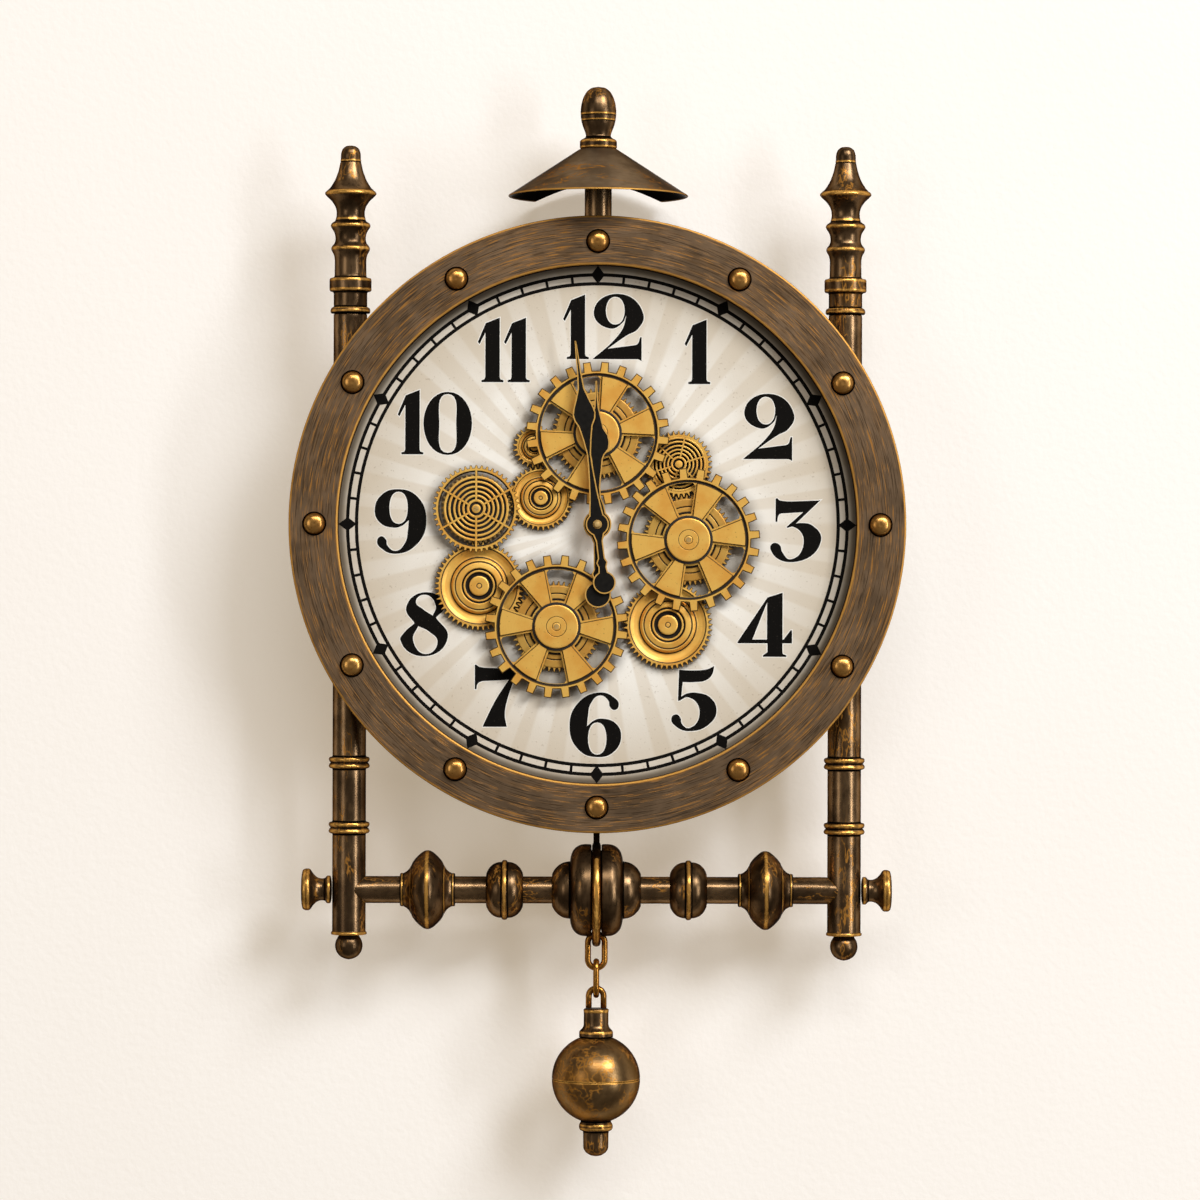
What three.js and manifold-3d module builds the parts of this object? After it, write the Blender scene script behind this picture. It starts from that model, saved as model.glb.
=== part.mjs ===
// A wall clock with a riveted rim, an open train of meshing gears on its dial, two columns,
// a crossbar of turned beads, a cone roof and a ball that hangs on a chain.
// Millimetres, +Z up. The front faces -Y and the wall is the plane y = 0. The origin is on the wall,
// on the rear flange of the drum above the dial. Depths are counted from the wall to the front.
import * as THREE from "three";
import { mergeVertices } from "three/addons/utils/BufferGeometryUtils.js";
import Module from "manifold-3d";

// Gaps between pieces that touch, and between pieces that turn
const SEAT = 0.3;
const RUNNING = 0.4;

// Frame axis: columns, crossbar, roof stem and chain lie in one plane at this depth
const AXIS_DEPTH = 63;

// Columns
const RIM_TO_COLUMN = 52.1;
const COLUMN_RADIUS = 14.9;
const COLUMN_WALL = 1.3;
const COLUMN_TOP = 187;
const COLUMN_BELOW_CROSSBAR = 40;
const COLLAR_PROUD = 3.5;
const COLLAR_HEIGHT = 10;
const COLLAR_DROPS = [211.8, 269.6];
const SPIGOT_LENGTH = 9;
const FOOT_BALL_RADIUS = 12.5;

// Clamps that hold the columns and the roof stem to the dial plate
const CLAMP_WALL = 3.5;
const CLAMP_HEIGHT = 22;
const CLAMP_REACH = 100;

// Dial plate and rim
const DIAL_THICKNESS = 2;
const DIAL_RECESS = 19;
const BEZEL_OUTER_RADIUS = 272.3;
const BEZEL_WIDTH = 43.5;
const BEZEL_WALL = 1.5;
const BEZEL_EDGE = 1.7;
const RIVET_COUNT = 12;
const RIVET_TO_EDGE = 22.8;
const RIVET_RADIUS = 10.4;
const RIVET_HEIGHT = 6.4;

// Drum behind the dial, and its hanger
const DRUM_TO_COLUMN = 15.3;
const DRUM_WALL = 1.5;
const DRUM_FLANGE = 30;
const HANGER_WIDTH = 60;
const HANGER_HEIGHT = 62;
const HANGER_THICKNESS = 1.5;
const KEYHOLE_RADIUS = 5;
const KEYHOLE_SLOT_WIDTH = 4.6;
const KEYHOLE_SLOT_LENGTH = 12;

// Crossbar
const CROSSBAR_RADIUS = 12;
const CROSSBAR_WALL = 1.5;
const BEZEL_TO_BEAD = 11.5;
const ROUND_BEAD_PLACE = 81.7;
const ROUND_BEAD_RADIUS = 24.9;
const ROUND_BEAD_HALF = 16.5;
const ROUND_BEAD_RING = 1.8;
const DISC_BEAD_PLACE = 150.2;
const DISC_BEAD_RADIUS = 35.2;
const DISC_BEAD_HALF = 24.5;
const CENTRE_BEAD_RADIUS = 41;
const CENTRE_LOBE_HALF = 23.4;
const CENTRE_BEAD_HALF = 39.5;
const CENTRE_CUP_RADIUS = 25.1;
const KNOB_LENGTH = 26.9;
const KNOB_RADIUS = 18.6;
const KNOB_NECK_RADIUS = 9.7;

// Hoop round the centre bead, on a strap from the dial plate
const HOOP_BAR_RADIUS = 4.2;
const HOOP_GROOVE = 6.4;
const HOOP_SLACK = 7.6;
const STRAP_WIDTH = 5.6;
const STRAP_DEPTH = 12;
const STRAP_FOOT_HEIGHT = 25;
const STRAP_FOOT_INSET = 37;

// Roof
const BEZEL_TO_ROOF = 19.7;
const ROOF_RADIUS = 79.9;
const ROOF_RISE = 42.4;
const ROOF_WALL = 1.5;
const ROOF_TO_WALL = 9;
const STEM_RADIUS = 12;
const STEM_ABOVE_DRUM = 15;
const STEM_CLAMP_RISE = 14;
const STEM_SPIGOT_RADIUS = 6;
const STEM_SPIGOT_LENGTH = 10;
const FINIAL_COLLAR_RADIUS = 16.5;
const FINIAL_COLLAR_HEIGHT = 8;
const FINIAL_NECK_RADIUS = 11;
const FINIAL_EGG_RADIUS = 15.9;
const FINIAL_HEIGHT = 55.2;

// Gear train: a rear layer of fine gears that mesh, and a front layer of large wheels
const DIAL_TO_GEARS = 1;
const FINE_MODULE = 1.5;
const FINE_ADDENDUM = 1.3;
const FINE_DEDENDUM = 2;
const FINE_WIDTH = 4;
const LAYER_GAP = 2;
const ARBOR_RADIUS = 2.4;
const ARBOR_HEAD_RADIUS = 4.5;
const ARBOR_HEAD_LENGTH = 1.5;
const WHEEL_TEETH = 24;
const WHEEL_TIP_RADIUS = 63.3;
const WHEEL_ROOT_RADIUS = 55.3;
const WHEEL_TOOTH_OVERLAP = 2.9;
const WHEEL_TIP_SHARE = 0.36;
const WHEEL_GAP_SHARE = 0.55;
const WHEEL_THICKNESS = 4;
const WHEEL_RIM = 3.6;
const WHEEL_SPOKES = 6;
const SPOKE_ANGLE = 28;
const SPOKE_LEAD = 3;
const HUB_RADIUS = 22;
const HUB_HEIGHT = 2.2;
const PINION_TEETH = 52;
const DISH_TEETH = 51;
const SMALL_DISH_TEETH = 37;
const IDLER_TEETH = 24;
const LEFT_RING_PINION_TEETH = 40;
const LEFT_RING_TEETH = 48;
const LEFT_RING_TIP_RADIUS = 38.5;
const RIGHT_RING_TEETH = 38;
const RING_RIM = 4.6;
const RING_BARS = 6;
const RING_BAR_WIDTH = 2.6;
const RING_THICKNESS = 3;
const RING_SLOTS = [[0.22, 0.36], [0.46, 0.6], [0.72, 1]];

// Place of the top wheel, and the bearing of each gear from the one that turns it, in degrees
const TOP_WHEEL_X = 0;
const TOP_WHEEL_Z = 80.5;
const TOP_WHEEL_TURN = 9;
const BEARING_RIGHT_WHEEL = -49.4;
const BEARING_IDLER = 191.8;
const BEARING_SMALL_DISH = -82.9;
const BEARING_LEFT_RING = 189.7;
const BEARING_LEFT_DISH = -87.7;
const BEARING_BOTTOM_WHEEL = -27.6;
const BEARING_RIGHT_RING = 97.4;
const BEARING_RIGHT_DISH = -103.4;
const BOTTOM_WHEEL_TURN = 52.9;

// Movement, hands and gear motor
const MOVEMENT_SIZE = 56;
const MOVEMENT_DEPTH = 24;
const BUSHING_RADIUS = 8;
const BUSHING_PROUD = 4;
const NUT_WIDTH = 20;
const NUT_THICKNESS = 3;
const CANNON_RADIUS = 4.8;
const MINUTE_ARBOR_RADIUS = 2.5;
const SHAFT_TAIL = 8;
const BATTERY_RADIUS = 7;
const BATTERY_LENGTH = 49;
const BATTERY_DROP = 16;
const SETTING_KNOB_RADIUS = 8;
const SETTING_KNOB_THICKNESS = 4;
const SETTING_KNOB_RISE = 14;
const SETTING_STEM_RADIUS = 2.5;
const MOTOR_SIZE = 46;
const MOTOR_DEPTH = 20;
const HAND_GAP = 1.8;
const HAND_THICKNESS = 1.2;
const HOUR_HAND_ANGLE = 0.58;
const HOUR_BOSS_RADIUS = 12.4;
const HOUR_TAIL_REACH = 62;
const HOUR_TAIL_RADIUS = 11.5;
const MINUTE_HAND_ANGLE = 7;
const MINUTE_BOSS_RADIUS = 10.2;
const MINUTE_TAIL_REACH = 51.7;
const MINUTE_TAIL_RADIUS = 10;
const HAND_CAP_RADIUS = 3.6;

// Chain and bob
const LINK_WIRE_RADIUS = 2.7;
const LINK_WIDTH = 20.3;
const LINK_LENGTH = 35.3;
const BAIL_WIDTH = 18.6;
const BAIL_HEIGHT = 20;
const BOB_CAP_RADIUS = 11.3;
const BOB_CAP_HEIGHT = 18.3;
const BOB_CAP_FLARE = 15.1;
const BOB_CAP_SKIRT = 7.5;
const BOB_RADIUS = 39.3;
const BOB_WALL = 1.5;
const BOB_COLLAR_RADIUS = 15;
const BOB_COLLAR_HEIGHT = 9;
const BOB_TIP_RADIUS = 11.3;
const BOB_TIP_LENGTH = 17.9;

// Sides of the round pieces
const RIM_SIDES = 48;
const DRUM_SIDES = 40;
const TURNED_SIDES = 16;
const ROOF_SIDES = 28;
const BORE_SIDES = 12;
const RIVET_SIDES = 8;

// Places, depths and heights that follow from the sizes above
const COLUMN_SPREAD = BEZEL_OUTER_RADIUS - RIM_TO_COLUMN;
const BEZEL_INNER_RADIUS = BEZEL_OUTER_RADIUS - BEZEL_WIDTH;
const RIVET_CIRCLE_RADIUS = BEZEL_OUTER_RADIUS - RIVET_TO_EDGE;
const DIAL_BACK = AXIS_DEPTH + COLUMN_RADIUS + CLAMP_WALL + 2 * SEAT;
const DIAL_FRONT = DIAL_BACK + DIAL_THICKNESS;
const BEZEL_FRONT = DIAL_FRONT + DIAL_RECESS;
const DIAL_RADIUS = BEZEL_OUTER_RADIUS - BEZEL_WALL - 2 * SEAT;
const DRUM_RADIUS = COLUMN_SPREAD - COLUMN_RADIUS - DRUM_TO_COLUMN;
const HANGING_POINT = DRUM_RADIUS - DRUM_FLANGE / 2;
const CROSSBAR_Z = -(BEZEL_OUTER_RADIUS + BEZEL_TO_BEAD + CENTRE_BEAD_RADIUS);
const COLUMN_BOTTOM = CROSSBAR_Z - COLUMN_BELOW_CROSSBAR;
const ROOF_RIM_Z = BEZEL_OUTER_RADIUS + BEZEL_TO_ROOF;
const ROOF_TOP_Z = ROOF_RIM_Z + ROOF_RISE;
const FINE_BACK = DIAL_FRONT + DIAL_TO_GEARS;
const FINE_FRONT = FINE_BACK + FINE_WIDTH;
const WHEEL_BACK = FINE_FRONT + LAYER_GAP;
const WHEEL_FRONT = WHEEL_BACK + WHEEL_THICKNESS;
const HUB_FRONT = WHEEL_FRONT + HUB_HEIGHT;
const HOUR_HAND_BACK = HUB_FRONT + HAND_GAP;
const HOUR_HAND_FRONT = HOUR_HAND_BACK + HAND_THICKNESS;
const MINUTE_HAND_BACK = HOUR_HAND_FRONT + HAND_GAP;
const MINUTE_HAND_FRONT = MINUTE_HAND_BACK + HAND_THICKNESS;
const GROOVE_RADIUS = CENTRE_BEAD_RADIUS - HOOP_GROOVE;
const HOOP_RADIUS = GROOVE_RADIUS + SEAT + HOOP_SLACK / 2 + HOOP_BAR_RADIUS;
const HOOP_Z = CROSSBAR_Z + SEAT - HOOP_SLACK / 2;
const STEM_BOTTOM = DRUM_RADIUS + STEM_ABOVE_DRUM;
const MOVEMENT_FRONT = DIAL_BACK - SEAT;
const MOVEMENT_BACK = MOVEMENT_FRONT - MOVEMENT_DEPTH;

const FINISHES = {
  bronze: { color: 0x4a3826, roughness: 0.4, metalness: 0.9 },
  brass: { color: 0xd9a441, roughness: 0.3, metalness: 1 },
  cream: { color: 0xe2d7c4, roughness: 0.8, metalness: 0 },
  black: { color: 0x14120f, roughness: 0.45, metalness: 0.3 },
  plastic: { color: 0x1c1c1e, roughness: 0.6, metalness: 0 },
  steel: { color: 0xb8b8b4, roughness: 0.3, metalness: 1 },
  battery: { color: 0x3f6f9a, roughness: 0.4, metalness: 0.2 },
};

const wasm = await Module();
wasm.setup();

const clock = new THREE.Group();
const assembly = new THREE.Group();
assembly.position.z = -HANGING_POINT;
clock.add(assembly);

// Adds a named piece with a material of its own.
function addPiece(name, geometry, finish, x = 0, z = 0, turn = 0) {
  const mesh = new THREE.Mesh(geometry, new THREE.MeshStandardMaterial(FINISHES[finish]));
  mesh.name = name;
  mesh.position.set(x, 0, z);
  mesh.rotation.y = -turn;
  assembly.add(mesh);
}

// A closed geometry as a solid that can be joined and cut, and back again.
function solidOf(geometry) {
  const bare = new THREE.BufferGeometry();
  bare.setAttribute("position", geometry.getAttribute("position"));
  bare.setIndex(geometry.index);
  const merged = mergeVertices(bare, 1e-4);
  const triVerts = new Uint32Array(merged.index.array);
  const vertProperties = merged.getAttribute("position").array;
  return new wasm.Manifold(new wasm.Mesh({ numProp: 3, vertProperties, triVerts }));
}

function geometryOf(solid) {
  const mesh = solid.getMesh();
  const geometry = new THREE.BufferGeometry();
  geometry.setAttribute("position", new THREE.BufferAttribute(mesh.vertProperties, 3));
  geometry.setIndex(new THREE.BufferAttribute(mesh.triVerts, 1));
  return geometry;
}

function join(...geometries) {
  const solids = geometries.map(solidOf);
  return geometryOf(solids.reduce((whole, solid) => whole.add(solid)));
}

function cut(geometry, ...tools) {
  return geometryOf(tools.reduce((whole, tool) => whole.subtract(solidOf(tool)), solidOf(geometry)));
}

const radians = THREE.MathUtils.degToRad;
const polar = (radius, angle) =>
  new THREE.Vector2(radius * Math.cos(angle), radius * Math.sin(angle));

// Points on an arc, both ends included.
function arc(radius, start, end, steps, centreX = 0, centreY = 0) {
  const centre = new THREE.Vector2(centreX, centreY);
  return Array.from({ length: steps + 1 }, (_, i) =>
    polar(radius, start + ((end - start) * i) / steps).add(centre),
  );
}

const circle = (radius, sides, centreX = 0, centreY = 0) =>
  arc(radius, 0, (2 * Math.PI * (sides - 1)) / sides, sides - 1, centreX, centreY);

function shapeOf(outline, ...holes) {
  const shape = new THREE.Shape(outline);
  shape.holes = holes.map((hole) => new THREE.Path(hole));
  return shape;
}

const extruded = (shape, depth) =>
  new THREE.ExtrudeGeometry(shape, { depth, bevelEnabled: false, steps: 1 });

// A plate drawn as seen from the front, from a back depth towards the viewer.
const facing = (shape, back, thickness) =>
  extruded(shape, thickness).rotateX(Math.PI / 2).translate(0, -back, 0);

// The same plate with holes through it
function pierced(outline, holes, back, thickness) {
  const tools = holes.map((hole) => facing(shapeOf(hole), back - thickness, 3 * thickness));
  return cut(facing(shapeOf(outline), back, thickness), ...tools);
}

// A plate drawn in plan, x to the right and depth from the wall, with its bottom at z.
const inPlan = (shape, z, height) =>
  extruded(shape, height).rotateX(Math.PI).translate(0, 0, z + height);

// A plate drawn from the side, y then z, with its thickness along x.
const fromSide = (shape, width) =>
  extruded(shape, width).rotateX(Math.PI / 2).rotateZ(Math.PI / 2).translate(-width / 2, 0, 0);

// Turned pieces: a profile of [radius, height] runs up the outside, on an axis along z or x,
// or along the depth from the wall.
const lathe = (profile, sides) =>
  new THREE.LatheGeometry(profile.map(([radius, height]) => new THREE.Vector2(radius, height)), sides);
const turnedUpright = (profile, sides = TURNED_SIDES) =>
  lathe(profile, sides).rotateX(Math.PI / 2).translate(0, -AXIS_DEPTH, 0);
const turnedAcross = (profile, sides = TURNED_SIDES) =>
  lathe(profile, sides).rotateZ(-Math.PI / 2).translate(0, -AXIS_DEPTH, CROSSBAR_Z);
const turnedFacing = (profile, sides) => lathe(profile, sides).rotateX(Math.PI);

const ring = (profile) => [...profile, profile[0]];
const rod = (radius, from, to) => [[0, from], [radius, from], [radius, to], [0, to]];
const tube = (radius, bore, from, to) =>
  ring([[bore, from], [radius, from], [radius, to], [bore, to]]);

// Rim: a stamped channel that is open at the back, with its domed rivets
function buildRim() {
  const outer = BEZEL_OUTER_RADIUS;
  const inner = BEZEL_INNER_RADIUS;
  const skin = BEZEL_FRONT - BEZEL_WALL;
  const channel = turnedFacing(
    ring([
      [outer, DIAL_BACK],
      [outer, BEZEL_FRONT - BEZEL_EDGE],
      [outer - BEZEL_EDGE, BEZEL_FRONT],
      [inner + BEZEL_EDGE, BEZEL_FRONT],
      [inner, BEZEL_FRONT - BEZEL_EDGE],
      [inner, DIAL_FRONT + SEAT],
      [inner + BEZEL_WALL, DIAL_FRONT + SEAT],
      [inner + BEZEL_WALL, skin],
      [outer - BEZEL_WALL, skin],
      [outer - BEZEL_WALL, DIAL_BACK],
    ]),
    RIM_SIDES,
  );
  const dome = turnedFacing(
    [
      [0, skin + BEZEL_WALL / 2],
      [RIVET_RADIUS, skin + BEZEL_WALL / 2],
      [RIVET_RADIUS, BEZEL_FRONT + 0.15 * RIVET_HEIGHT],
      [0.71 * RIVET_RADIUS, BEZEL_FRONT + 0.75 * RIVET_HEIGHT],
      [0, BEZEL_FRONT + RIVET_HEIGHT],
    ],
    RIVET_SIDES,
  );
  const rivets = circle(RIVET_CIRCLE_RADIUS, RIVET_COUNT).map(({ x, y }) =>
    dome.clone().translate(x, 0, y),
  );
  addPiece("bezel_ring", join(channel, ...rivets), "bronze");
}

// Column with a clamp near each end of the dial, a turned finial on top and a ball at the foot
function buildColumn(side, x) {
  const bore = COLUMN_RADIUS - COLUMN_WALL;
  const collar = COLUMN_RADIUS + COLLAR_PROUD;
  const half = COLLAR_HEIGHT / 2;
  const collars = COLLAR_DROPS.toReversed().flatMap((drop) => [
    [COLUMN_RADIUS, -drop - half],
    [collar, -drop - half + 1],
    [collar, -drop + half - 1],
    [COLUMN_RADIUS, -drop + half],
  ]);
  const column = ring([
    [bore, COLUMN_BOTTOM],
    [COLUMN_RADIUS, COLUMN_BOTTOM],
    ...collars,
    [COLUMN_RADIUS, COLUMN_TOP],
    [bore, COLUMN_TOP],
  ]);
  addPiece(`${side}_column`, turnedUpright(column), "bronze", x);

  const seat = COLUMN_TOP + SEAT;
  const spigot = bore - SEAT;
  const finial = [
    [0, COLUMN_TOP - SPIGOT_LENGTH],
    [spigot, COLUMN_TOP - SPIGOT_LENGTH],
    [spigot, seat],
    [COLUMN_RADIUS + 2.9, seat],
    [COLUMN_RADIUS + 2.9, seat + 5.7],
    [COLUMN_RADIUS, seat + 6.4],
    [COLUMN_RADIUS, seat + 19.8],
    [COLUMN_RADIUS + 3.8, seat + 20.4],
    [COLUMN_RADIUS + 3.8, seat + 31],
    [COLUMN_RADIUS - 0.9, seat + 32.2],
    [COLUMN_RADIUS - 0.9, seat + 52],
    [COLUMN_RADIUS + 2.5, seat + 58],
    [COLUMN_RADIUS - 1.5, seat + 67],
    [COLUMN_RADIUS + 2.9, seat + 78.6],
    [COLUMN_RADIUS - 2.5, seat + 89.6],
    [COLUMN_RADIUS + 8.3, seat + 107],
    [COLUMN_RADIUS - 2.9, seat + 119],
    [COLUMN_RADIUS - 6, seat + 134.6],
    [COLUMN_RADIUS - 6, seat + 141],
    [COLUMN_RADIUS - 9, seat + 147.4],
    [0, seat + 149.8],
  ];
  addPiece(`${side}_column_finial`, turnedUpright(finial), "bronze", x);

  const foot = COLUMN_BOTTOM - SEAT;
  const ballCentre = foot - 0.78 * FOOT_BALL_RADIUS;
  const ball = arc(FOOT_BALL_RADIUS, -Math.PI / 2, radians(50), 6, 0, ballCentre);
  const footBall = [
    ...ball.map(({ x: radius, y }) => [Math.max(radius, 0), y]),
    [spigot, foot],
    [spigot, COLUMN_BOTTOM + SPIGOT_LENGTH],
    [0, COLUMN_BOTTOM + SPIGOT_LENGTH],
  ];
  addPiece(`${side}_foot_ball`, turnedUpright(footBall), "bronze", x);

  addPiece(`${side}_upper_clamp`, clampOf(COLUMN_RADIUS, CLAMP_REACH), "plastic", x);
  addPiece(`${side}_lower_clamp`, clampOf(COLUMN_RADIUS, -CLAMP_REACH), "plastic", x);
}

// A saddle round an upright tube, with a flat face against the back of the dial plate
function clampOf(radius, z) {
  const bore = radius + SEAT;
  const outer = bore + CLAMP_WALL;
  const pad = DIAL_BACK - SEAT;
  const outline = [
    new THREE.Vector2(outer, pad),
    new THREE.Vector2(-outer, pad),
    ...arc(outer, Math.PI, 2 * Math.PI, 8, 0, AXIS_DEPTH),
  ];
  const hole = circle(bore, TURNED_SIDES, 0, AXIS_DEPTH);
  return inPlan(shapeOf(outline, hole), z - CLAMP_HEIGHT / 2, CLAMP_HEIGHT);
}

// Crossbar: a tube between the columns, shaped at its ends to fit them, with beads threaded on it
function buildCrossbar() {
  const reach = COLUMN_SPREAD;
  const bar = turnedAcross(
    tube(CROSSBAR_RADIUS, CROSSBAR_RADIUS - CROSSBAR_WALL, -reach, reach),
  );
  const saddle = turnedUpright(
    rod(COLUMN_RADIUS + SEAT, CROSSBAR_Z - 2 * CROSSBAR_RADIUS, CROSSBAR_Z + 2 * CROSSBAR_RADIUS),
  );
  const saddles = [-reach, reach].map((x) => saddle.clone().translate(x, 0, 0));
  addPiece("crossbar_rod", cut(bar, ...saddles), "bronze");

  const roundBead = beadOf([
    [ROUND_BEAD_RADIUS + ROUND_BEAD_RING, 2],
    [ROUND_BEAD_RADIUS, 3.4],
    [0.965 * ROUND_BEAD_RADIUS, 0.55 * ROUND_BEAD_HALF],
    [0.8 * ROUND_BEAD_RADIUS, 0.88 * ROUND_BEAD_HALF],
    [CROSSBAR_RADIUS + 1.4, ROUND_BEAD_HALF],
  ]);
  const discBead = beadOf([
    [DISC_BEAD_RADIUS, 1.6],
    [0.94 * DISC_BEAD_RADIUS, 0.19 * DISC_BEAD_HALF],
    [0.8 * DISC_BEAD_RADIUS, 0.4 * DISC_BEAD_HALF],
    [0.63 * DISC_BEAD_RADIUS, 0.57 * DISC_BEAD_HALF],
    [0.5 * DISC_BEAD_RADIUS, 0.7 * DISC_BEAD_HALF],
    [CROSSBAR_RADIUS + 2.3, 0.9 * DISC_BEAD_HALF],
    [CROSSBAR_RADIUS + 2.3, DISC_BEAD_HALF],
  ]);
  const lobeEnd = CENTRE_LOBE_HALF;
  const cup = CENTRE_BEAD_HALF - CENTRE_LOBE_HALF;
  const grooveHalf = HOOP_BAR_RADIUS + 2 * SEAT;
  const centreBead = beadOf([
    [GROOVE_RADIUS, grooveHalf],
    [CENTRE_BEAD_RADIUS - 2.5, grooveHalf + 1.2],
    [CENTRE_BEAD_RADIUS, 0.5 * lobeEnd],
    [0.96 * CENTRE_BEAD_RADIUS, 0.73 * lobeEnd],
    [0.82 * CENTRE_BEAD_RADIUS, 0.93 * lobeEnd],
    [CENTRE_CUP_RADIUS, lobeEnd],
    [0.98 * CENTRE_CUP_RADIUS, lobeEnd + 0.35 * cup],
    [0.8 * CENTRE_CUP_RADIUS, lobeEnd + 0.8 * cup],
    [CROSSBAR_RADIUS + 1.5, CENTRE_BEAD_HALF],
  ]);
  addPiece("centre_bead", centreBead, "bronze");

  const column = COLUMN_SPREAD + COLUMN_RADIUS + SEAT;
  const knob = turnedAcross([
    [0, column],
    [0.8 * KNOB_NECK_RADIUS, column],
    [KNOB_NECK_RADIUS + 2.5, column + 1.2],
    [KNOB_NECK_RADIUS + 2.5, column + 4.2],
    [KNOB_NECK_RADIUS, column + 0.26 * KNOB_LENGTH],
    [KNOB_NECK_RADIUS + 1, column + 0.45 * KNOB_LENGTH],
    [KNOB_RADIUS, column + 0.72 * KNOB_LENGTH],
    [KNOB_RADIUS, column + 0.9 * KNOB_LENGTH],
    [0.87 * KNOB_RADIUS, column + KNOB_LENGTH],
    [0, column + KNOB_LENGTH],
  ]);
  for (const [side, sign] of [["left", -1], ["right", 1]]) {
    addPiece(`${side}_round_bead`, roundBead, "bronze", sign * ROUND_BEAD_PLACE);
    addPiece(`${side}_disc_bead`, discBead, "bronze", sign * DISC_BEAD_PLACE);
    const end = knob.clone();
    if (sign < 0) end.translate(0, AXIS_DEPTH, 0).rotateZ(Math.PI).translate(0, -AXIS_DEPTH, 0);
    addPiece(`${side}_end_knob`, end, "bronze");
  }
}

// A bead on the crossbar, from half of its profile: [radius, distance from its middle]
function beadOf(half) {
  const [, end] = half.at(-1);
  const bore = CROSSBAR_RADIUS + SEAT;
  const mirrored = half.toReversed().map(([radius, x]) => [radius, -x]);
  return turnedAcross(ring([...mirrored, ...half, [bore, end], [bore, -end]]));
}

// Hoop that goes round the centre bead, on a strap whose foot is fixed to the dial plate
function buildHoop() {
  const hoop = new THREE.TorusGeometry(HOOP_RADIUS, HOOP_BAR_RADIUS, 8, 24)
    .rotateY(Math.PI / 2)
    .translate(0, -AXIS_DEPTH, HOOP_Z);
  const top = -BEZEL_OUTER_RADIUS + STRAP_FOOT_INSET;
  const bottom = HOOP_Z + HOOP_RADIUS;
  const back = -AXIS_DEPTH + STRAP_DEPTH / 2;
  const front = -AXIS_DEPTH - STRAP_DEPTH / 2;
  const foot = -DIAL_BACK + SEAT;
  const strap = shapeOf([
    new THREE.Vector2(back, bottom),
    new THREE.Vector2(back, top),
    new THREE.Vector2(foot, top),
    new THREE.Vector2(foot, top - STRAP_FOOT_HEIGHT),
    new THREE.Vector2(front, top - STRAP_FOOT_HEIGHT - STRAP_DEPTH),
    new THREE.Vector2(front, bottom),
  ].toReversed());
  addPiece("crossbar_hanger", join(hoop, fromSide(strap, STRAP_WIDTH)), "bronze");
}

// Roof: a stem on the back of the dial, a thin cone cut off flat at the wall, and an egg finial
function buildRoof() {
  const shoulder = ROOF_TOP_Z - ROOF_WALL - SEAT;
  const stem = [
    [0, STEM_BOTTOM],
    [STEM_RADIUS, STEM_BOTTOM],
    [STEM_RADIUS, shoulder],
    [STEM_SPIGOT_RADIUS, shoulder],
    [STEM_SPIGOT_RADIUS, ROOF_TOP_Z + STEM_SPIGOT_LENGTH],
    [0, ROOF_TOP_Z + STEM_SPIGOT_LENGTH],
  ];
  addPiece("roof_stem", turnedUpright(stem), "bronze");
  const clampZ = STEM_BOTTOM + STEM_CLAMP_RISE + CLAMP_HEIGHT / 2;
  addPiece("stem_clamp", clampOf(STEM_RADIUS, clampZ), "plastic");

  const bore = STEM_SPIGOT_RADIUS + SEAT;
  const lip = FINIAL_COLLAR_RADIUS;
  const cone = turnedUpright(
    ring([
      [ROOF_RADIUS - ROOF_WALL, ROOF_RIM_Z],
      [ROOF_RADIUS, ROOF_RIM_Z],
      [ROOF_RADIUS, ROOF_RIM_Z + 1],
      [lip, ROOF_TOP_Z],
      [bore, ROOF_TOP_Z],
      [bore, ROOF_TOP_Z - ROOF_WALL],
      [lip, ROOF_TOP_Z - ROOF_WALL],
    ]),
    ROOF_SIDES,
  );
  const wall = new THREE.BoxGeometry(4 * ROOF_RADIUS, 4 * ROOF_RADIUS, 4 * ROOF_RADIUS);
  wall.translate(0, 2 * ROOF_RADIUS - ROOF_TO_WALL, ROOF_RIM_Z);
  addPiece("roof_cone", cut(cone, wall), "bronze");

  const seat = ROOF_TOP_Z + SEAT;
  const socket = STEM_SPIGOT_LENGTH + SEAT;
  const neck = seat + FINIAL_COLLAR_HEIGHT + 0.08 * FINIAL_HEIGHT;
  const egg = FINIAL_HEIGHT - (neck - seat);
  const finial = [
    [0, ROOF_TOP_Z + socket],
    [bore, ROOF_TOP_Z + socket],
    [bore, seat],
    [FINIAL_COLLAR_RADIUS, seat],
    [FINIAL_COLLAR_RADIUS, seat + FINIAL_COLLAR_HEIGHT],
    [FINIAL_NECK_RADIUS, neck],
    [0.94 * FINIAL_EGG_RADIUS, neck + 0.28 * egg],
    [FINIAL_EGG_RADIUS, neck + 0.5 * egg],
    [0.86 * FINIAL_EGG_RADIUS, neck + 0.74 * egg],
    [0.5 * FINIAL_EGG_RADIUS, neck + 0.93 * egg],
    [0, neck + egg],
  ];
  addPiece("roof_finial", turnedUpright(finial), "bronze");
}

// Dial plate, with a hole for each arbor
function buildDial(arbors) {
  const holes = arbors.map(({ x, z }) => circle(ARBOR_RADIUS + RUNNING, BORE_SIDES, x, z));
  const bushing = circle(BUSHING_RADIUS + SEAT, TURNED_SIDES);
  const outline = circle(DIAL_RADIUS, RIM_SIDES);
  addPiece("dial_plate", pierced(outline, [bushing, ...holes], DIAL_BACK, DIAL_THICKNESS), "cream");
}

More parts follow.
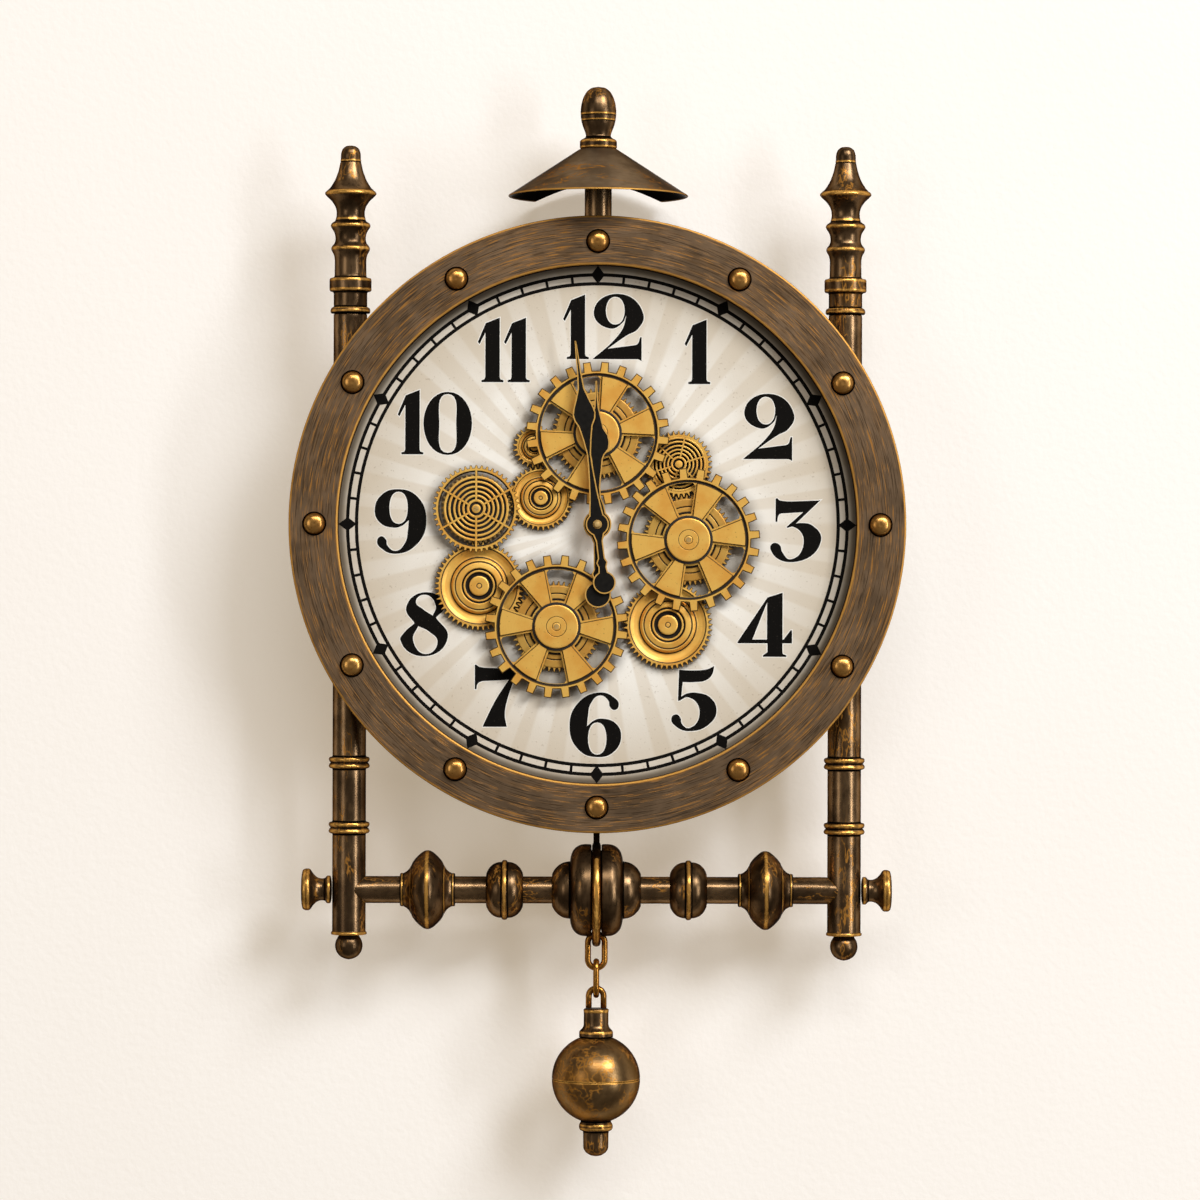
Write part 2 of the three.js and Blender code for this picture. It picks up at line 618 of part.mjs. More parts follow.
// Drum that stands the dial off the wall: a rolled band, a flat flange behind it and a hanger plate
function buildDrum() {
  const flange = tube(DRUM_RADIUS, DRUM_RADIUS - DRUM_FLANGE, 0, DRUM_WALL);
  addPiece("drum_flange", turnedFacing(flange, DRUM_SIDES), "bronze");
  const band = tube(DRUM_RADIUS, DRUM_RADIUS - DRUM_WALL, DRUM_WALL + SEAT, DIAL_BACK - SEAT);
  addPiece("rear_drum", turnedFacing(band, DRUM_SIDES), "bronze");

  const top = DRUM_RADIUS - DRUM_FLANGE / 4;
  const keyhole = DRUM_RADIUS - DRUM_FLANGE - KEYHOLE_SLOT_LENGTH - 3 * KEYHOLE_RADIUS;
  const slot = KEYHOLE_SLOT_WIDTH / 2;
  const slotTop = keyhole + KEYHOLE_RADIUS + KEYHOLE_SLOT_LENGTH;
  const start = Math.asin(slot / KEYHOLE_RADIUS);
  const hole = [
    ...arc(KEYHOLE_RADIUS, Math.PI / 2 + start, 2.5 * Math.PI - start, 10, 0, keyhole),
    ...arc(slot, 0, Math.PI, 4, 0, slotTop),
  ];
  const plate = roundedRectangle(HANGER_WIDTH, HANGER_HEIGHT, 4, 0, top - HANGER_HEIGHT / 2);
  addPiece(
    "hanger_plate",
    facing(shapeOf(plate, hole), DRUM_WALL + SEAT, HANGER_THICKNESS),
    "steel",
  );
}

function roundedRectangle(width, height, radius, centreX = 0, centreY = 0) {
  const right = width / 2 - radius;
  const top = height / 2 - radius;
  return [[right, top], [-right, top], [-right, -top], [right, -top]].flatMap(([x, y], corner) => {
    const start = (corner * Math.PI) / 2;
    return arc(radius, start, start + Math.PI / 2, 3, centreX + x, centreY + y);
  });
}

// The outline of a toothed rim, with the middle of one tooth at angle 0.
// A share is a part of the pitch: a tip share of 0 makes pointed teeth, a gap share of 0 pointed gaps.
function toothed(teeth, tipRadius, rootRadius, tipShare = 0, gapShare = 0) {
  const pitch = (2 * Math.PI) / teeth;
  return Array.from({ length: teeth }, (_, tooth) => {
    const middle = tooth * pitch;
    const foot = ((1 - gapShare) * pitch) / 2;
    const tip = (tipShare * pitch) / 2;
    const points = [polar(rootRadius, middle - foot), polar(tipRadius, middle - tip)];
    if (tip > 0) points.push(polar(tipRadius, middle + tip));
    if (gapShare > 0) points.push(polar(rootRadius, middle + foot));
    return points;
  }).flat();
}

const pitchRadius = (teeth) => (FINE_MODULE * teeth) / 2;
const fineTeeth = (teeth) =>
  toothed(teeth, pitchRadius(teeth) + FINE_ADDENDUM, pitchRadius(teeth) - FINE_DEDENDUM);

// Where a gear sits and how it is turned so that its teeth fall in the gaps of the gear that turns it
function meshed(driver, driverTeeth, teeth, distance, bearing) {
  const along = radians(bearing);
  const offset = (driverTeeth * (along - driver.turn)) / (2 * Math.PI);
  const turn = along + Math.PI - ((2 * Math.PI) / teeth) * (0.5 - offset);
  return {
    x: driver.x + distance * Math.cos(along),
    z: driver.z + distance * Math.sin(along),
    turn,
  };
}

const meshedFine = (driver, driverTeeth, teeth, bearing) =>
  meshed(driver, driverTeeth, teeth, pitchRadius(driverTeeth) + pitchRadius(teeth), bearing);

// The train, from the top wheel, which the motor turns: to the right wheel by their front teeth, and
// through the fine gears on the left to the bottom wheel
function placeTrain() {
  const top = { x: TOP_WHEEL_X, z: TOP_WHEEL_Z, turn: radians(TOP_WHEEL_TURN) };
  const reach = 2 * WHEEL_TIP_RADIUS - WHEEL_TOOTH_OVERLAP;
  const right = meshed(top, WHEEL_TEETH, WHEEL_TEETH, reach, BEARING_RIGHT_WHEEL);
  const idler = meshedFine(top, PINION_TEETH, IDLER_TEETH, BEARING_IDLER);
  const smallDish = meshedFine(idler, IDLER_TEETH, SMALL_DISH_TEETH, BEARING_SMALL_DISH);
  const leftRing = meshedFine(
    smallDish, SMALL_DISH_TEETH, LEFT_RING_PINION_TEETH, BEARING_LEFT_RING,
  );
  const leftDish = meshedFine(leftRing, LEFT_RING_PINION_TEETH, DISH_TEETH, BEARING_LEFT_DISH);
  const bottom = meshedFine(leftDish, DISH_TEETH, PINION_TEETH, BEARING_BOTTOM_WHEEL);
  const rightRing = meshedFine(right, PINION_TEETH, RIGHT_RING_TEETH, BEARING_RIGHT_RING);
  const rightDish = meshedFine(right, PINION_TEETH, DISH_TEETH, BEARING_RIGHT_DISH);
  return { top, right, bottom, idler, smallDish, leftRing, leftDish, rightRing, rightDish };
}

// Steps of an arbor behind a gear: a head behind the dial plate, then the shaft through it
function arborTail(gearBack) {
  const head = DIAL_BACK - SEAT;
  return [
    [0, head - ARBOR_HEAD_LENGTH],
    [ARBOR_HEAD_RADIUS, head - ARBOR_HEAD_LENGTH],
    [ARBOR_HEAD_RADIUS, head],
    [ARBOR_RADIUS, head],
    [ARBOR_RADIUS, gearBack],
  ];
}

// A large wheel: square teeth, a thin rim, spokes and a round hub
function wheelOf() {
  const rim = WHEEL_ROOT_RADIUS - WHEEL_RIM;
  const hubEdge = HUB_RADIUS + 3;
  const window = radians(360 / WHEEL_SPOKES - SPOKE_ANGLE) / 2;
  const windows = Array.from({ length: WHEEL_SPOKES }, (_, i) => {
    const middle = radians(SPOKE_LEAD) + ((i + 0.5) * 2 * Math.PI) / WHEEL_SPOKES;
    return [
      ...arc(rim, middle - window, middle + window, 4),
      ...arc(hubEdge, middle + window, middle - window, 2),
    ];
  });
  const teeth = toothed(
    WHEEL_TEETH, WHEEL_TIP_RADIUS, WHEEL_ROOT_RADIUS, WHEEL_TIP_SHARE, WHEEL_GAP_SHARE,
  );
  const plate = pierced(teeth, windows, WHEEL_BACK, WHEEL_THICKNESS);
  const middle = WHEEL_BACK + WHEEL_THICKNESS / 2;
  const hub = turnedFacing(
    [
      [0, middle],
      [HUB_RADIUS, middle],
      [HUB_RADIUS, HUB_FRONT - HUB_HEIGHT / 3],
      [HUB_RADIUS - HUB_HEIGHT / 3, HUB_FRONT],
      [0, HUB_FRONT],
    ],
    TURNED_SIDES,
  );
  const bore = turnedFacing(rod(ARBOR_RADIUS + SEAT, 0, 2 * HUB_FRONT), BORE_SIDES);
  return cut(join(plate, hub), bore);
}

// A fine pinion on the arbor of a large wheel, with a boss up to the wheel
function pinionOf() {
  const plate = facing(shapeOf(fineTeeth(PINION_TEETH)), FINE_BACK, FINE_WIDTH);
  const boss = turnedFacing(rod(HUB_RADIUS, FINE_BACK + FINE_WIDTH / 2, WHEEL_BACK - SEAT), BORE_SIDES);
  const bore = turnedFacing(rod(ARBOR_RADIUS + SEAT, 0, 2 * FINE_FRONT), BORE_SIDES);
  return cut(join(plate, boss), bore);
}

// A dished gear on its own arbor: a toothed rim, a hollow face, a raised ring and a hub
function dishOf(teeth) {
  const root = pitchRadius(teeth) - FINE_DEDENDUM;
  const face = root - 2;
  const rim = facing(
    shapeOf(fineTeeth(teeth), circle(face - 2, TURNED_SIDES)), FINE_BACK, FINE_WIDTH,
  );
  const crown = FINE_FRONT + 0.6 * LAYER_GAP;
  const dish = turnedFacing(
    [
      ...arborTail(FINE_BACK),
      [face, FINE_BACK],
      [face, FINE_FRONT - 0.2 * FINE_WIDTH],
      [0.74 * face, FINE_BACK + 0.35 * FINE_WIDTH],
      [0.66 * face, FINE_FRONT],
      [0.48 * face, crown],
      [0.43 * face, FINE_BACK + 0.4 * FINE_WIDTH],
      [0.3 * face, FINE_BACK + 0.4 * FINE_WIDTH],
      [0.27 * face, crown],
      [0, crown],
    ],
    TURNED_SIDES,
  );
  return join(rim, dish);
}

// A plate gear on its own arbor
function plateGearOf(outline, holes, front) {
  const plate = pierced(outline, holes, FINE_BACK, FINE_WIDTH);
  const arbor = turnedFacing(
    [...arborTail(front), [0, front]],
    BORE_SIDES,
  );
  return join(plate, arbor);
}

// Slots between the concentric rings of a ring gear, parted by bars
function ringSlots(outer, widths, turn) {
  const sector = Math.PI / RING_BARS;
  return widths.flatMap(([from, to]) =>
    Array.from({ length: RING_BARS }, (_, i) => {
      const middle = radians(turn) + (2 * i + 1) * sector;
      const farHalf = sector - Math.asin(RING_BAR_WIDTH / 2 / (to * outer));
      const nearHalf = sector - Math.asin(RING_BAR_WIDTH / 2 / (from * outer));
      return [
        ...arc(to * outer, middle - farHalf, middle + farHalf, 2),
        ...arc(from * outer, middle + nearHalf, middle - nearHalf, 2),
      ];
    }),
  );
}

function buildGears(train) {
  const arborTop = [
    [ARBOR_RADIUS, HUB_FRONT + SEAT],
    [0, HUB_FRONT + SEAT],
  ];
  const arbor = turnedFacing([...arborTail(FINE_BACK), ...arborTop], BORE_SIDES);
  const motorTail = DIAL_BACK - SEAT - MOTOR_DEPTH / 2;
  const motorArbor = turnedFacing(rod(ARBOR_RADIUS, motorTail, HUB_FRONT + SEAT), BORE_SIDES);
  const wheel = wheelOf();
  const pinion = pinionOf();
  const wheels = {
    top: { ...train.top, wheelTurn: train.top.turn },
    right: { ...train.right, wheelTurn: train.right.turn },
    bottom: { ...train.bottom, wheelTurn: radians(BOTTOM_WHEEL_TURN) },
  };
  for (const [side, { x, z, turn, wheelTurn }] of Object.entries(wheels)) {
    addPiece(`${side}_wheel`, wheel, "brass", x, z, wheelTurn);
    addPiece(`${side}_pinion`, pinion, "brass", x, z, turn);
    addPiece(`${side}_arbor`, side === "top" ? motorArbor : arbor, "steel", x, z);
  }

  const place = (name, geometry, { x, z, turn }) => addPiece(name, geometry, "brass", x, z, turn);
  place("idler_gear", plateGearOf(fineTeeth(IDLER_TEETH), [], FINE_FRONT + LAYER_GAP / 2), train.idler);
  place("small_dish_gear", dishOf(SMALL_DISH_TEETH), train.smallDish);
  place("left_dish_gear", dishOf(DISH_TEETH), train.leftDish);
  place("right_dish_gear", dishOf(DISH_TEETH), train.rightDish);

  const rightRim = pitchRadius(RIGHT_RING_TEETH) - FINE_DEDENDUM - RING_RIM / 2;
  const rightSlots = ringSlots(rightRim, RING_SLOTS, 0);
  place(
    "right_ring_gear",
    plateGearOf(fineTeeth(RIGHT_RING_TEETH), rightSlots, FINE_FRONT + LAYER_GAP / 2),
    train.rightRing,
  );

  const ringBack = FINE_FRONT + LAYER_GAP / 2;
  const ringFront = ringBack + RING_THICKNESS;
  const pinionGear = plateGearOf(fineTeeth(LEFT_RING_PINION_TEETH), [], ringFront + SEAT);
  place("left_ring_pinion", pinionGear, train.leftRing);
  const root = LEFT_RING_TIP_RADIUS - FINE_ADDENDUM - FINE_DEDENDUM;
  const ringHoles = [
    circle(ARBOR_RADIUS + SEAT, BORE_SIDES),
    ...ringSlots(root - RING_RIM / 2, RING_SLOTS, 30),
  ];
  addPiece(
    "left_ring_gear",
    pierced(toothed(LEFT_RING_TEETH, LEFT_RING_TIP_RADIUS, root), ringHoles, ringBack, RING_THICKNESS),
    "brass",
    train.leftRing.x,
    train.leftRing.z,
  );

  const motor = facing(
    shapeOf(roundedRectangle(MOTOR_SIZE, MOTOR_SIZE, 5)), DIAL_BACK - SEAT - MOTOR_DEPTH, MOTOR_DEPTH,
  );
  const motorBore = turnedFacing(
    rod(ARBOR_RADIUS + RUNNING, motorTail - SEAT, DIAL_BACK), BORE_SIDES,
  );
  addPiece("gear_motor_case", cut(motor, motorBore), "plastic", train.top.x, train.top.z);
}

// Quartz movement: its case with a threaded bushing through the dial, nut, battery and setting knob
function buildMovement() {
  const box = facing(
    shapeOf(roundedRectangle(MOVEMENT_SIZE, MOVEMENT_SIZE, 5)), MOVEMENT_BACK, MOVEMENT_DEPTH,
  );
  const bushing = turnedFacing(
    rod(BUSHING_RADIUS, MOVEMENT_FRONT - 1, DIAL_FRONT + BUSHING_PROUD), TURNED_SIDES,
  );
  const shaftBore = turnedFacing(
    rod(CANNON_RADIUS + 1.5 * RUNNING, MOVEMENT_BACK + SHAFT_TAIL, 2 * DIAL_FRONT), BORE_SIDES,
  );
  const bay = new THREE.BoxGeometry(
    BATTERY_LENGTH + 4 * SEAT, 4 * BATTERY_RADIUS, 2 * (BATTERY_RADIUS + SEAT),
  );
  bay.translate(0, -MOVEMENT_BACK, -BATTERY_DROP);
  const knobHole = turnedFacing(
    rod(SETTING_STEM_RADIUS + RUNNING, 0, MOVEMENT_BACK + SHAFT_TAIL / 2), BORE_SIDES,
  );
  knobHole.translate(0, 0, SETTING_KNOB_RISE);
  addPiece("movement_case", cut(join(box, bushing), shaftBore, bay, knobHole), "plastic");

  const nutOutline = circle(NUT_WIDTH / Math.sqrt(3), 6);
  const nut = shapeOf(nutOutline, circle(BUSHING_RADIUS + SEAT, TURNED_SIDES));
  addPiece("movement_nut", facing(nut, DIAL_FRONT + SEAT, NUT_THICKNESS), "brass");

  const half = BATTERY_LENGTH / 2;
  const battery = lathe(
    [
      [0, -half],
      [BATTERY_RADIUS, -half],
      [BATTERY_RADIUS, half - 1.5],
      [BATTERY_RADIUS / 3, half - 1.5],
      [BATTERY_RADIUS / 3, half],
      [0, half],
    ],
    BORE_SIDES,
  );
  const bayFloor = MOVEMENT_BACK + 2 * BATTERY_RADIUS;
  battery.rotateZ(-Math.PI / 2).translate(0, -(bayFloor - BATTERY_RADIUS - SEAT), -BATTERY_DROP);
  addPiece("movement_battery", battery, "battery");

  const knobFront = MOVEMENT_BACK - SEAT;
  const knob = turnedFacing(
    [
      [0, knobFront - SETTING_KNOB_THICKNESS],
      [SETTING_KNOB_RADIUS, knobFront - SETTING_KNOB_THICKNESS],
      [SETTING_KNOB_RADIUS, knobFront],
      [SETTING_STEM_RADIUS, knobFront],
      [SETTING_STEM_RADIUS, MOVEMENT_BACK + SHAFT_TAIL / 4],
      [0, MOVEMENT_BACK + SHAFT_TAIL / 4],
    ],
    BORE_SIDES,
  );
  addPiece("setting_knob", knob, "plastic", 0, SETTING_KNOB_RISE);
}

// A hand, drawn upright about its pivot from half widths along its length, with a round boss and a
// round counterweight on its tail
function handOf(blade, boss, neck, tailReach, tail, bore, back) {
  const point = ([distance, half]) => new THREE.Vector2(half, distance);
  const rightSide = [
    ...blade.map(point),
    ...arc(boss, radians(52), radians(-62), 5),
    ...neck.map(point),
    ...arc(tail, radians(66), radians(-90), 6, 0, -tailReach),
  ];
  const leftSide = rightSide.slice(0, -1).toReversed().map(({ x, y }) => new THREE.Vector2(-x, y));
  const outline = [...rightSide, ...leftSide].toReversed();
  return facing(shapeOf(outline, circle(bore, BORE_SIDES)), back, HAND_THICKNESS);
}

function buildHands() {
  const hourBlade = [
    [126.6, 0.6], [103.5, 2], [85, 6.2], [77, 11], [69, 11.4], [60, 6], [48, 4.3], [32.7, 2.8], [20, 4.5],
  ];
  const hourNeck = [[-17, 3.5], [-40, 3.5], [-43.5, 5.2], [-47, 4]];
  const hourBore = CANNON_RADIUS + SEAT;
  const hourHand = handOf(
    hourBlade, HOUR_BOSS_RADIUS, hourNeck, HOUR_TAIL_REACH, HOUR_TAIL_RADIUS, hourBore, HOUR_HAND_BACK,
  );
  addPiece("hour_hand", hourHand, "black", 0, 0, radians(HOUR_HAND_ANGLE));
  const cannonBore = MINUTE_ARBOR_RADIUS + 1.5 * RUNNING;
  const cannonBack = MOVEMENT_BACK + SHAFT_TAIL + 2 * RUNNING;
  const cannon = tube(CANNON_RADIUS, cannonBore, cannonBack, HOUR_HAND_FRONT + SEAT);
  addPiece("hour_cannon", turnedFacing(cannon, BORE_SIDES), "brass");

  const minuteBlade = [
    [162.3, 0.6], [132.8, 2], [120.4, 3], [108, 7.5], [98.2, 10.2], [88, 7], [75.2, 3.6], [62, 1.8],
    [38, 3], [19, 4.6],
  ];
  const minuteNeck = [[-15, 3.1], [-30, 3.1], [-34, 5], [-38, 3.6]];
  const minuteBore = MINUTE_ARBOR_RADIUS + SEAT;
  const minuteHand = handOf(
    minuteBlade, MINUTE_BOSS_RADIUS, minuteNeck, MINUTE_TAIL_REACH, MINUTE_TAIL_RADIUS, minuteBore,
    MINUTE_HAND_BACK,
  );
  addPiece("minute_hand", minuteHand, "black", 0, 0, radians(MINUTE_HAND_ANGLE));
  const cap = MINUTE_HAND_FRONT + SEAT;
  const arbor = [
    [0, MOVEMENT_BACK + SHAFT_TAIL + RUNNING],
    [MINUTE_ARBOR_RADIUS, MOVEMENT_BACK + SHAFT_TAIL + RUNNING],
    [MINUTE_ARBOR_RADIUS, cap],
    [HAND_CAP_RADIUS, cap],
    [0.7 * HAND_CAP_RADIUS, cap + 1.4],
    [0, cap + 1.8],
  ];
  addPiece("minute_arbor", turnedFacing(arbor, BORE_SIDES), "brass");
}

// A long chain link: a ring whose two halves are drawn apart, upright and seen flat from the front.
// Its steps put a corner at the top and the bottom and none at the sides.
function linkOf(width, length) {
  const steps = 14;
  const geometry = new THREE.TorusGeometry(width / 2 - LINK_WIRE_RADIUS, LINK_WIRE_RADIUS, 6, steps);
  geometry.rotateZ(Math.PI / steps).rotateX(Math.PI / 2);
  const points = geometry.getAttribute("position");
  for (let i = 0; i < points.count; i++) {
    const z = points.getZ(i);
    points.setZ(i, z + (Math.sign(z) * (length - width)) / 2);
  }
  return geometry;
}

// Chain and bob: each link hangs on the one above, and the ball is two thin halves under a cap
function buildChain() {
  const wire = 2 * LINK_WIRE_RADIUS;
  const upperTop = HOOP_Z - HOOP_RADIUS + HOOP_BAR_RADIUS + SEAT + wire;
  const upperBottom = upperTop - LINK_LENGTH;
  const lowerTop = upperBottom + 2 * wire + SEAT;
  const lowerBottom = lowerTop - LINK_LENGTH;
  const bailTop = lowerBottom + 2 * wire + SEAT;
  const capTop = bailTop - BAIL_HEIGHT - SEAT;
  const upper = linkOf(LINK_WIDTH, LINK_LENGTH);
  upper.translate(0, -AXIS_DEPTH, upperTop - LINK_LENGTH / 2);
  addPiece("upper_link", upper, "bronze");
  const lower = linkOf(LINK_WIDTH, LINK_LENGTH).rotateZ(Math.PI / 2);
  lower.translate(0, -AXIS_DEPTH, lowerTop - LINK_LENGTH / 2);
  addPiece("lower_link", lower, "bronze");
  const loop = linkOf(BAIL_WIDTH, 2 * BAIL_HEIGHT).translate(0, -AXIS_DEPTH, bailTop - BAIL_HEIGHT);
  const below = new THREE.BoxGeometry(2 * BAIL_WIDTH, 2 * BAIL_WIDTH, 2 * BAIL_HEIGHT);
  below.translate(0, -AXIS_DEPTH, bailTop - 2 * BAIL_HEIGHT);
  addPiece("bob_bail", cut(loop, below), "bronze");

  const skirtTop = capTop - BOB_CAP_HEIGHT;
  const skirtBottom = skirtTop - BOB_CAP_SKIRT;
  const rise = Math.sqrt(BOB_RADIUS ** 2 - BOB_CAP_FLARE ** 2);
  const centre = skirtBottom - 2 * SEAT - rise;
  const ballTop = centre + BOB_RADIUS;
  const shoulder = centre + Math.sqrt(BOB_RADIUS ** 2 - (BOB_CAP_FLARE / 2) ** 2);
  const cap = [
    [0, ballTop + SEAT],
    [BOB_CAP_FLARE / 2, shoulder + 2 * SEAT],
    [BOB_CAP_FLARE, skirtBottom],
    [BOB_CAP_FLARE, skirtBottom + 0.6 * BOB_CAP_SKIRT],
    [BOB_CAP_RADIUS, skirtTop],
    [BOB_CAP_RADIUS, capTop],
    [0, capTop],
  ];
  addPiece("bob_cap", turnedUpright(cap), "bronze");

  const profile = (points) => points.map(({ x, y }) => [Math.max(x, 0), y]);
  const inner = BOB_RADIUS - BOB_WALL;
  const quarter = Math.PI / 2;
  const upperHalf = [
    ...profile(arc(inner, quarter, 0, 5, 0, centre + SEAT / 2)),
    ...profile(arc(BOB_RADIUS, 0, quarter, 6, 0, centre + SEAT / 2)),
  ];
  addPiece("bob_upper_half", turnedUpright(upperHalf), "bronze");

  const collarAngle = -Math.acos(BOB_COLLAR_RADIUS / BOB_RADIUS);
  const collarTop = centre - SEAT / 2 + BOB_RADIUS * Math.sin(collarAngle);
  const collarBottom = collarTop - BOB_COLLAR_HEIGHT;
  const tipEnd = collarBottom - BOB_TIP_LENGTH;
  const lowerHalf = [
    [0, tipEnd - BOB_TIP_RADIUS / 2],
    [0.7 * BOB_TIP_RADIUS, tipEnd - BOB_TIP_RADIUS / 3],
    [BOB_TIP_RADIUS, tipEnd],
    [BOB_TIP_RADIUS, collarBottom],
    [BOB_COLLAR_RADIUS, collarBottom],
    ...profile(arc(BOB_RADIUS, collarAngle, 0, 5, 0, centre - SEAT / 2)),
    ...profile(arc(inner, 0, -quarter, 5, 0, centre - SEAT / 2)),
  ];
  addPiece("bob_lower_half", turnedUpright(lowerHalf), "bronze");
}

const train = placeTrain();
buildDial(Object.values(train));
buildRim();
buildDrum();
buildColumn("left", -COLUMN_SPREAD);
buildColumn("right", COLUMN_SPREAD);
buildCrossbar();
buildHoop();
buildRoof();
buildMovement();
buildGears(train);
buildHands();
buildChain();

export default clock;
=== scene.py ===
import math

import bmesh
import bpy
from mathutils import Matrix, Vector


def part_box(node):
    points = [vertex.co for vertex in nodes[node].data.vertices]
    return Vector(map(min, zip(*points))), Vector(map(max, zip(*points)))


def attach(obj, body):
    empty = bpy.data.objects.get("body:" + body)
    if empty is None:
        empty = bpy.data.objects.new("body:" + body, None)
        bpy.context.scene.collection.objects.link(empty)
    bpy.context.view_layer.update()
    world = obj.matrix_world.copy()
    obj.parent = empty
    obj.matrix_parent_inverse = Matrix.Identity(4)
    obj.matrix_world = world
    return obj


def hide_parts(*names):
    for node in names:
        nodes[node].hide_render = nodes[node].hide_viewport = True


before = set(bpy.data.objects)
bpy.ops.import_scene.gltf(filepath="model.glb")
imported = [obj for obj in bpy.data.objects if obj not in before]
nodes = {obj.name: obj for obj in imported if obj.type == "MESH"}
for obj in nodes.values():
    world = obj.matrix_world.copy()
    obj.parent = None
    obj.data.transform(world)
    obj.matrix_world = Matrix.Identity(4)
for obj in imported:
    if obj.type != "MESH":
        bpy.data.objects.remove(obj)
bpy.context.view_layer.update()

# View: a long lens straight in front of the clock, aimed between the dial and the crossbar.
# It is turned a little, because the clock hangs slightly out of plumb.
camera = bpy.data.objects.new("camera", bpy.data.cameras.new("camera"))
camera.location = (0.0025, -4.144, -0.2417)
camera.rotation_euler = (math.radians(90), math.radians(-0.15), 0)
camera.data.lens = 137.6
camera.data.sensor_width = 36
bpy.context.scene.collection.objects.link(camera)
bpy.context.scene.camera = camera
bpy.context.scene.view_settings.view_transform = "Standard"


# Wall: painted plaster, warm white, that the clock hangs against and throws its shadow on.
# It is clear from behind and lets light through, so that the back of the clock can be seen.
def srgb(red, green, blue):
    """A colour as it looks on a screen, from 0 to 255, as the light it stands for."""
    light = [((c / 255 + 0.055) / 1.055) ** 2.4 if c > 10 else c / 3295 for c in (red, green, blue)]
    return (*light, 1)


def fill(tree, node, sockets):
    """Fills a node's sockets, each by a value or by another node's output."""
    for key, value in sockets.items():
        if isinstance(value, bpy.types.NodeSocket):
            tree.links.new(value, node.inputs[key])
        else:
            node.inputs[key].default_value = value


def put(tree, kind, sockets=None, **settings):
    """A new node with its settings and its sockets filled."""
    made = tree.nodes.new(kind)
    for key, value in settings.items():
        setattr(made, key, value)
    fill(tree, made, sockets or {})
    return made


def here(tree):
    return put(tree, "ShaderNodeTexCoord").outputs["Object"]


def calc(tree, operation, *values):
    return put(tree, "ShaderNodeMath", dict(enumerate(values)), operation=operation).outputs[0]


def times(tree, first, second):
    return calc(tree, "MULTIPLY", first, second)


def blend(tree, factor, first, second):
    mix = put(tree, "ShaderNodeMix", {0: factor, 6: first, 7: second}, data_type="RGBA")
    return mix.outputs[2]


def between(tree, value, low, high):
    """0 below the low value, 1 above the high one, with a soft step between them."""
    sockets = {"Value": value, "From Min": low, "From Max": high}
    return put(tree, "ShaderNodeMapRange", sockets, interpolation_type="SMOOTHSTEP").outputs[0]


def noise(tree, place, scale, detail=2):
    sockets = {"Vector": place, "Scale": scale, "Detail": detail}
    return put(tree, "ShaderNodeTexNoise", sockets).outputs[0]


def finish(name, metallic=0.0):
    """A new material, with its node tree and its surface shader."""
    made = bpy.data.materials.new(name)
    made.use_nodes = True
    surface = made.node_tree.nodes["Principled BSDF"]
    surface.inputs["Metallic"].default_value = metallic
    return made, made.node_tree, surface


def raise_relief(tree, surface, height, distance):
    bump = put(tree, "ShaderNodeBump", {"Strength": 1, "Distance": distance, "Height": height})
    fill(tree, surface, {"Normal": bump.outputs[0]})


WALL_HALF = 4
WALL_GAP = 0.0005
GLOW = 0.38

plaster, tree, surface = finish("wall_plaster")
where = here(tree)
cloudy = noise(tree, where, 3, 4)
rays = put(tree, "ShaderNodeLightPath").outputs
seen = calc(tree, "MAXIMUM", rays["Is Camera Ray"], rays["Is Glossy Ray"])
fill(tree, surface, {
    "Base Color": blend(tree, cloudy, srgb(210, 212, 216), srgb(215, 217, 221)),
    "Roughness": 0.9,
    "Specular IOR Level": 0.1,
    "Emission Color": blend(tree, cloudy, srgb(255, 231, 197), srgb(255, 235, 205)),
    "Emission Strength": times(tree, seen, GLOW),
})
raise_relief(tree, surface, noise(tree, where, 160, 3), 0.0004)
behind = put(tree, "ShaderNodeNewGeometry").outputs["Backfacing"]
clear = put(tree, "ShaderNodeBsdfTransparent").outputs[0]
open_to = calc(tree, "MAXIMUM", behind, rays["Is Shadow Ray"])
sides = put(tree, "ShaderNodeMixShader", {0: open_to, 1: surface.outputs[0], 2: clear})
fill(tree, tree.nodes["Material Output"], {"Surface": sides.outputs[0]})

bm = bmesh.new()
bmesh.ops.create_grid(bm, x_segments=1, y_segments=1, size=WALL_HALF)
bmesh.ops.rotate(bm, cent=(0, 0, 0), matrix=Matrix.Rotation(math.pi / 2, 3, "X"), verts=bm.verts)
bmesh.ops.translate(bm, vec=(0, WALL_GAP, 0), verts=bm.verts)
wall = bpy.data.objects.new("wall", bpy.data.meshes.new("wall"))
bm.to_mesh(wall.data)
bm.free()
wall.data.materials.append(plaster)
bpy.context.scene.collection.objects.link(wall)

# Light: a large soft window high on the right, a ceiling panel, a narrow window beside the first, a
# weaker one on the left, a dim warm room, and a panel straight behind for the back of the clock.
MIDDLE = Vector((0, 0, -0.25))


def lamp(name, place, size, power, tint):
    light = bpy.data.lights.new(name, "AREA")
    light.shape = "RECTANGLE"
    light.size, light.size_y = size
    light.energy = power
    light.color = tint
    made = bpy.data.objects.new(name, light)
    made.location = place
    made.rotation_euler = (MIDDLE - Vector(place)).to_track_quat("-Z", "Y").to_euler()
    bpy.context.scene.collection.objects.link(made)


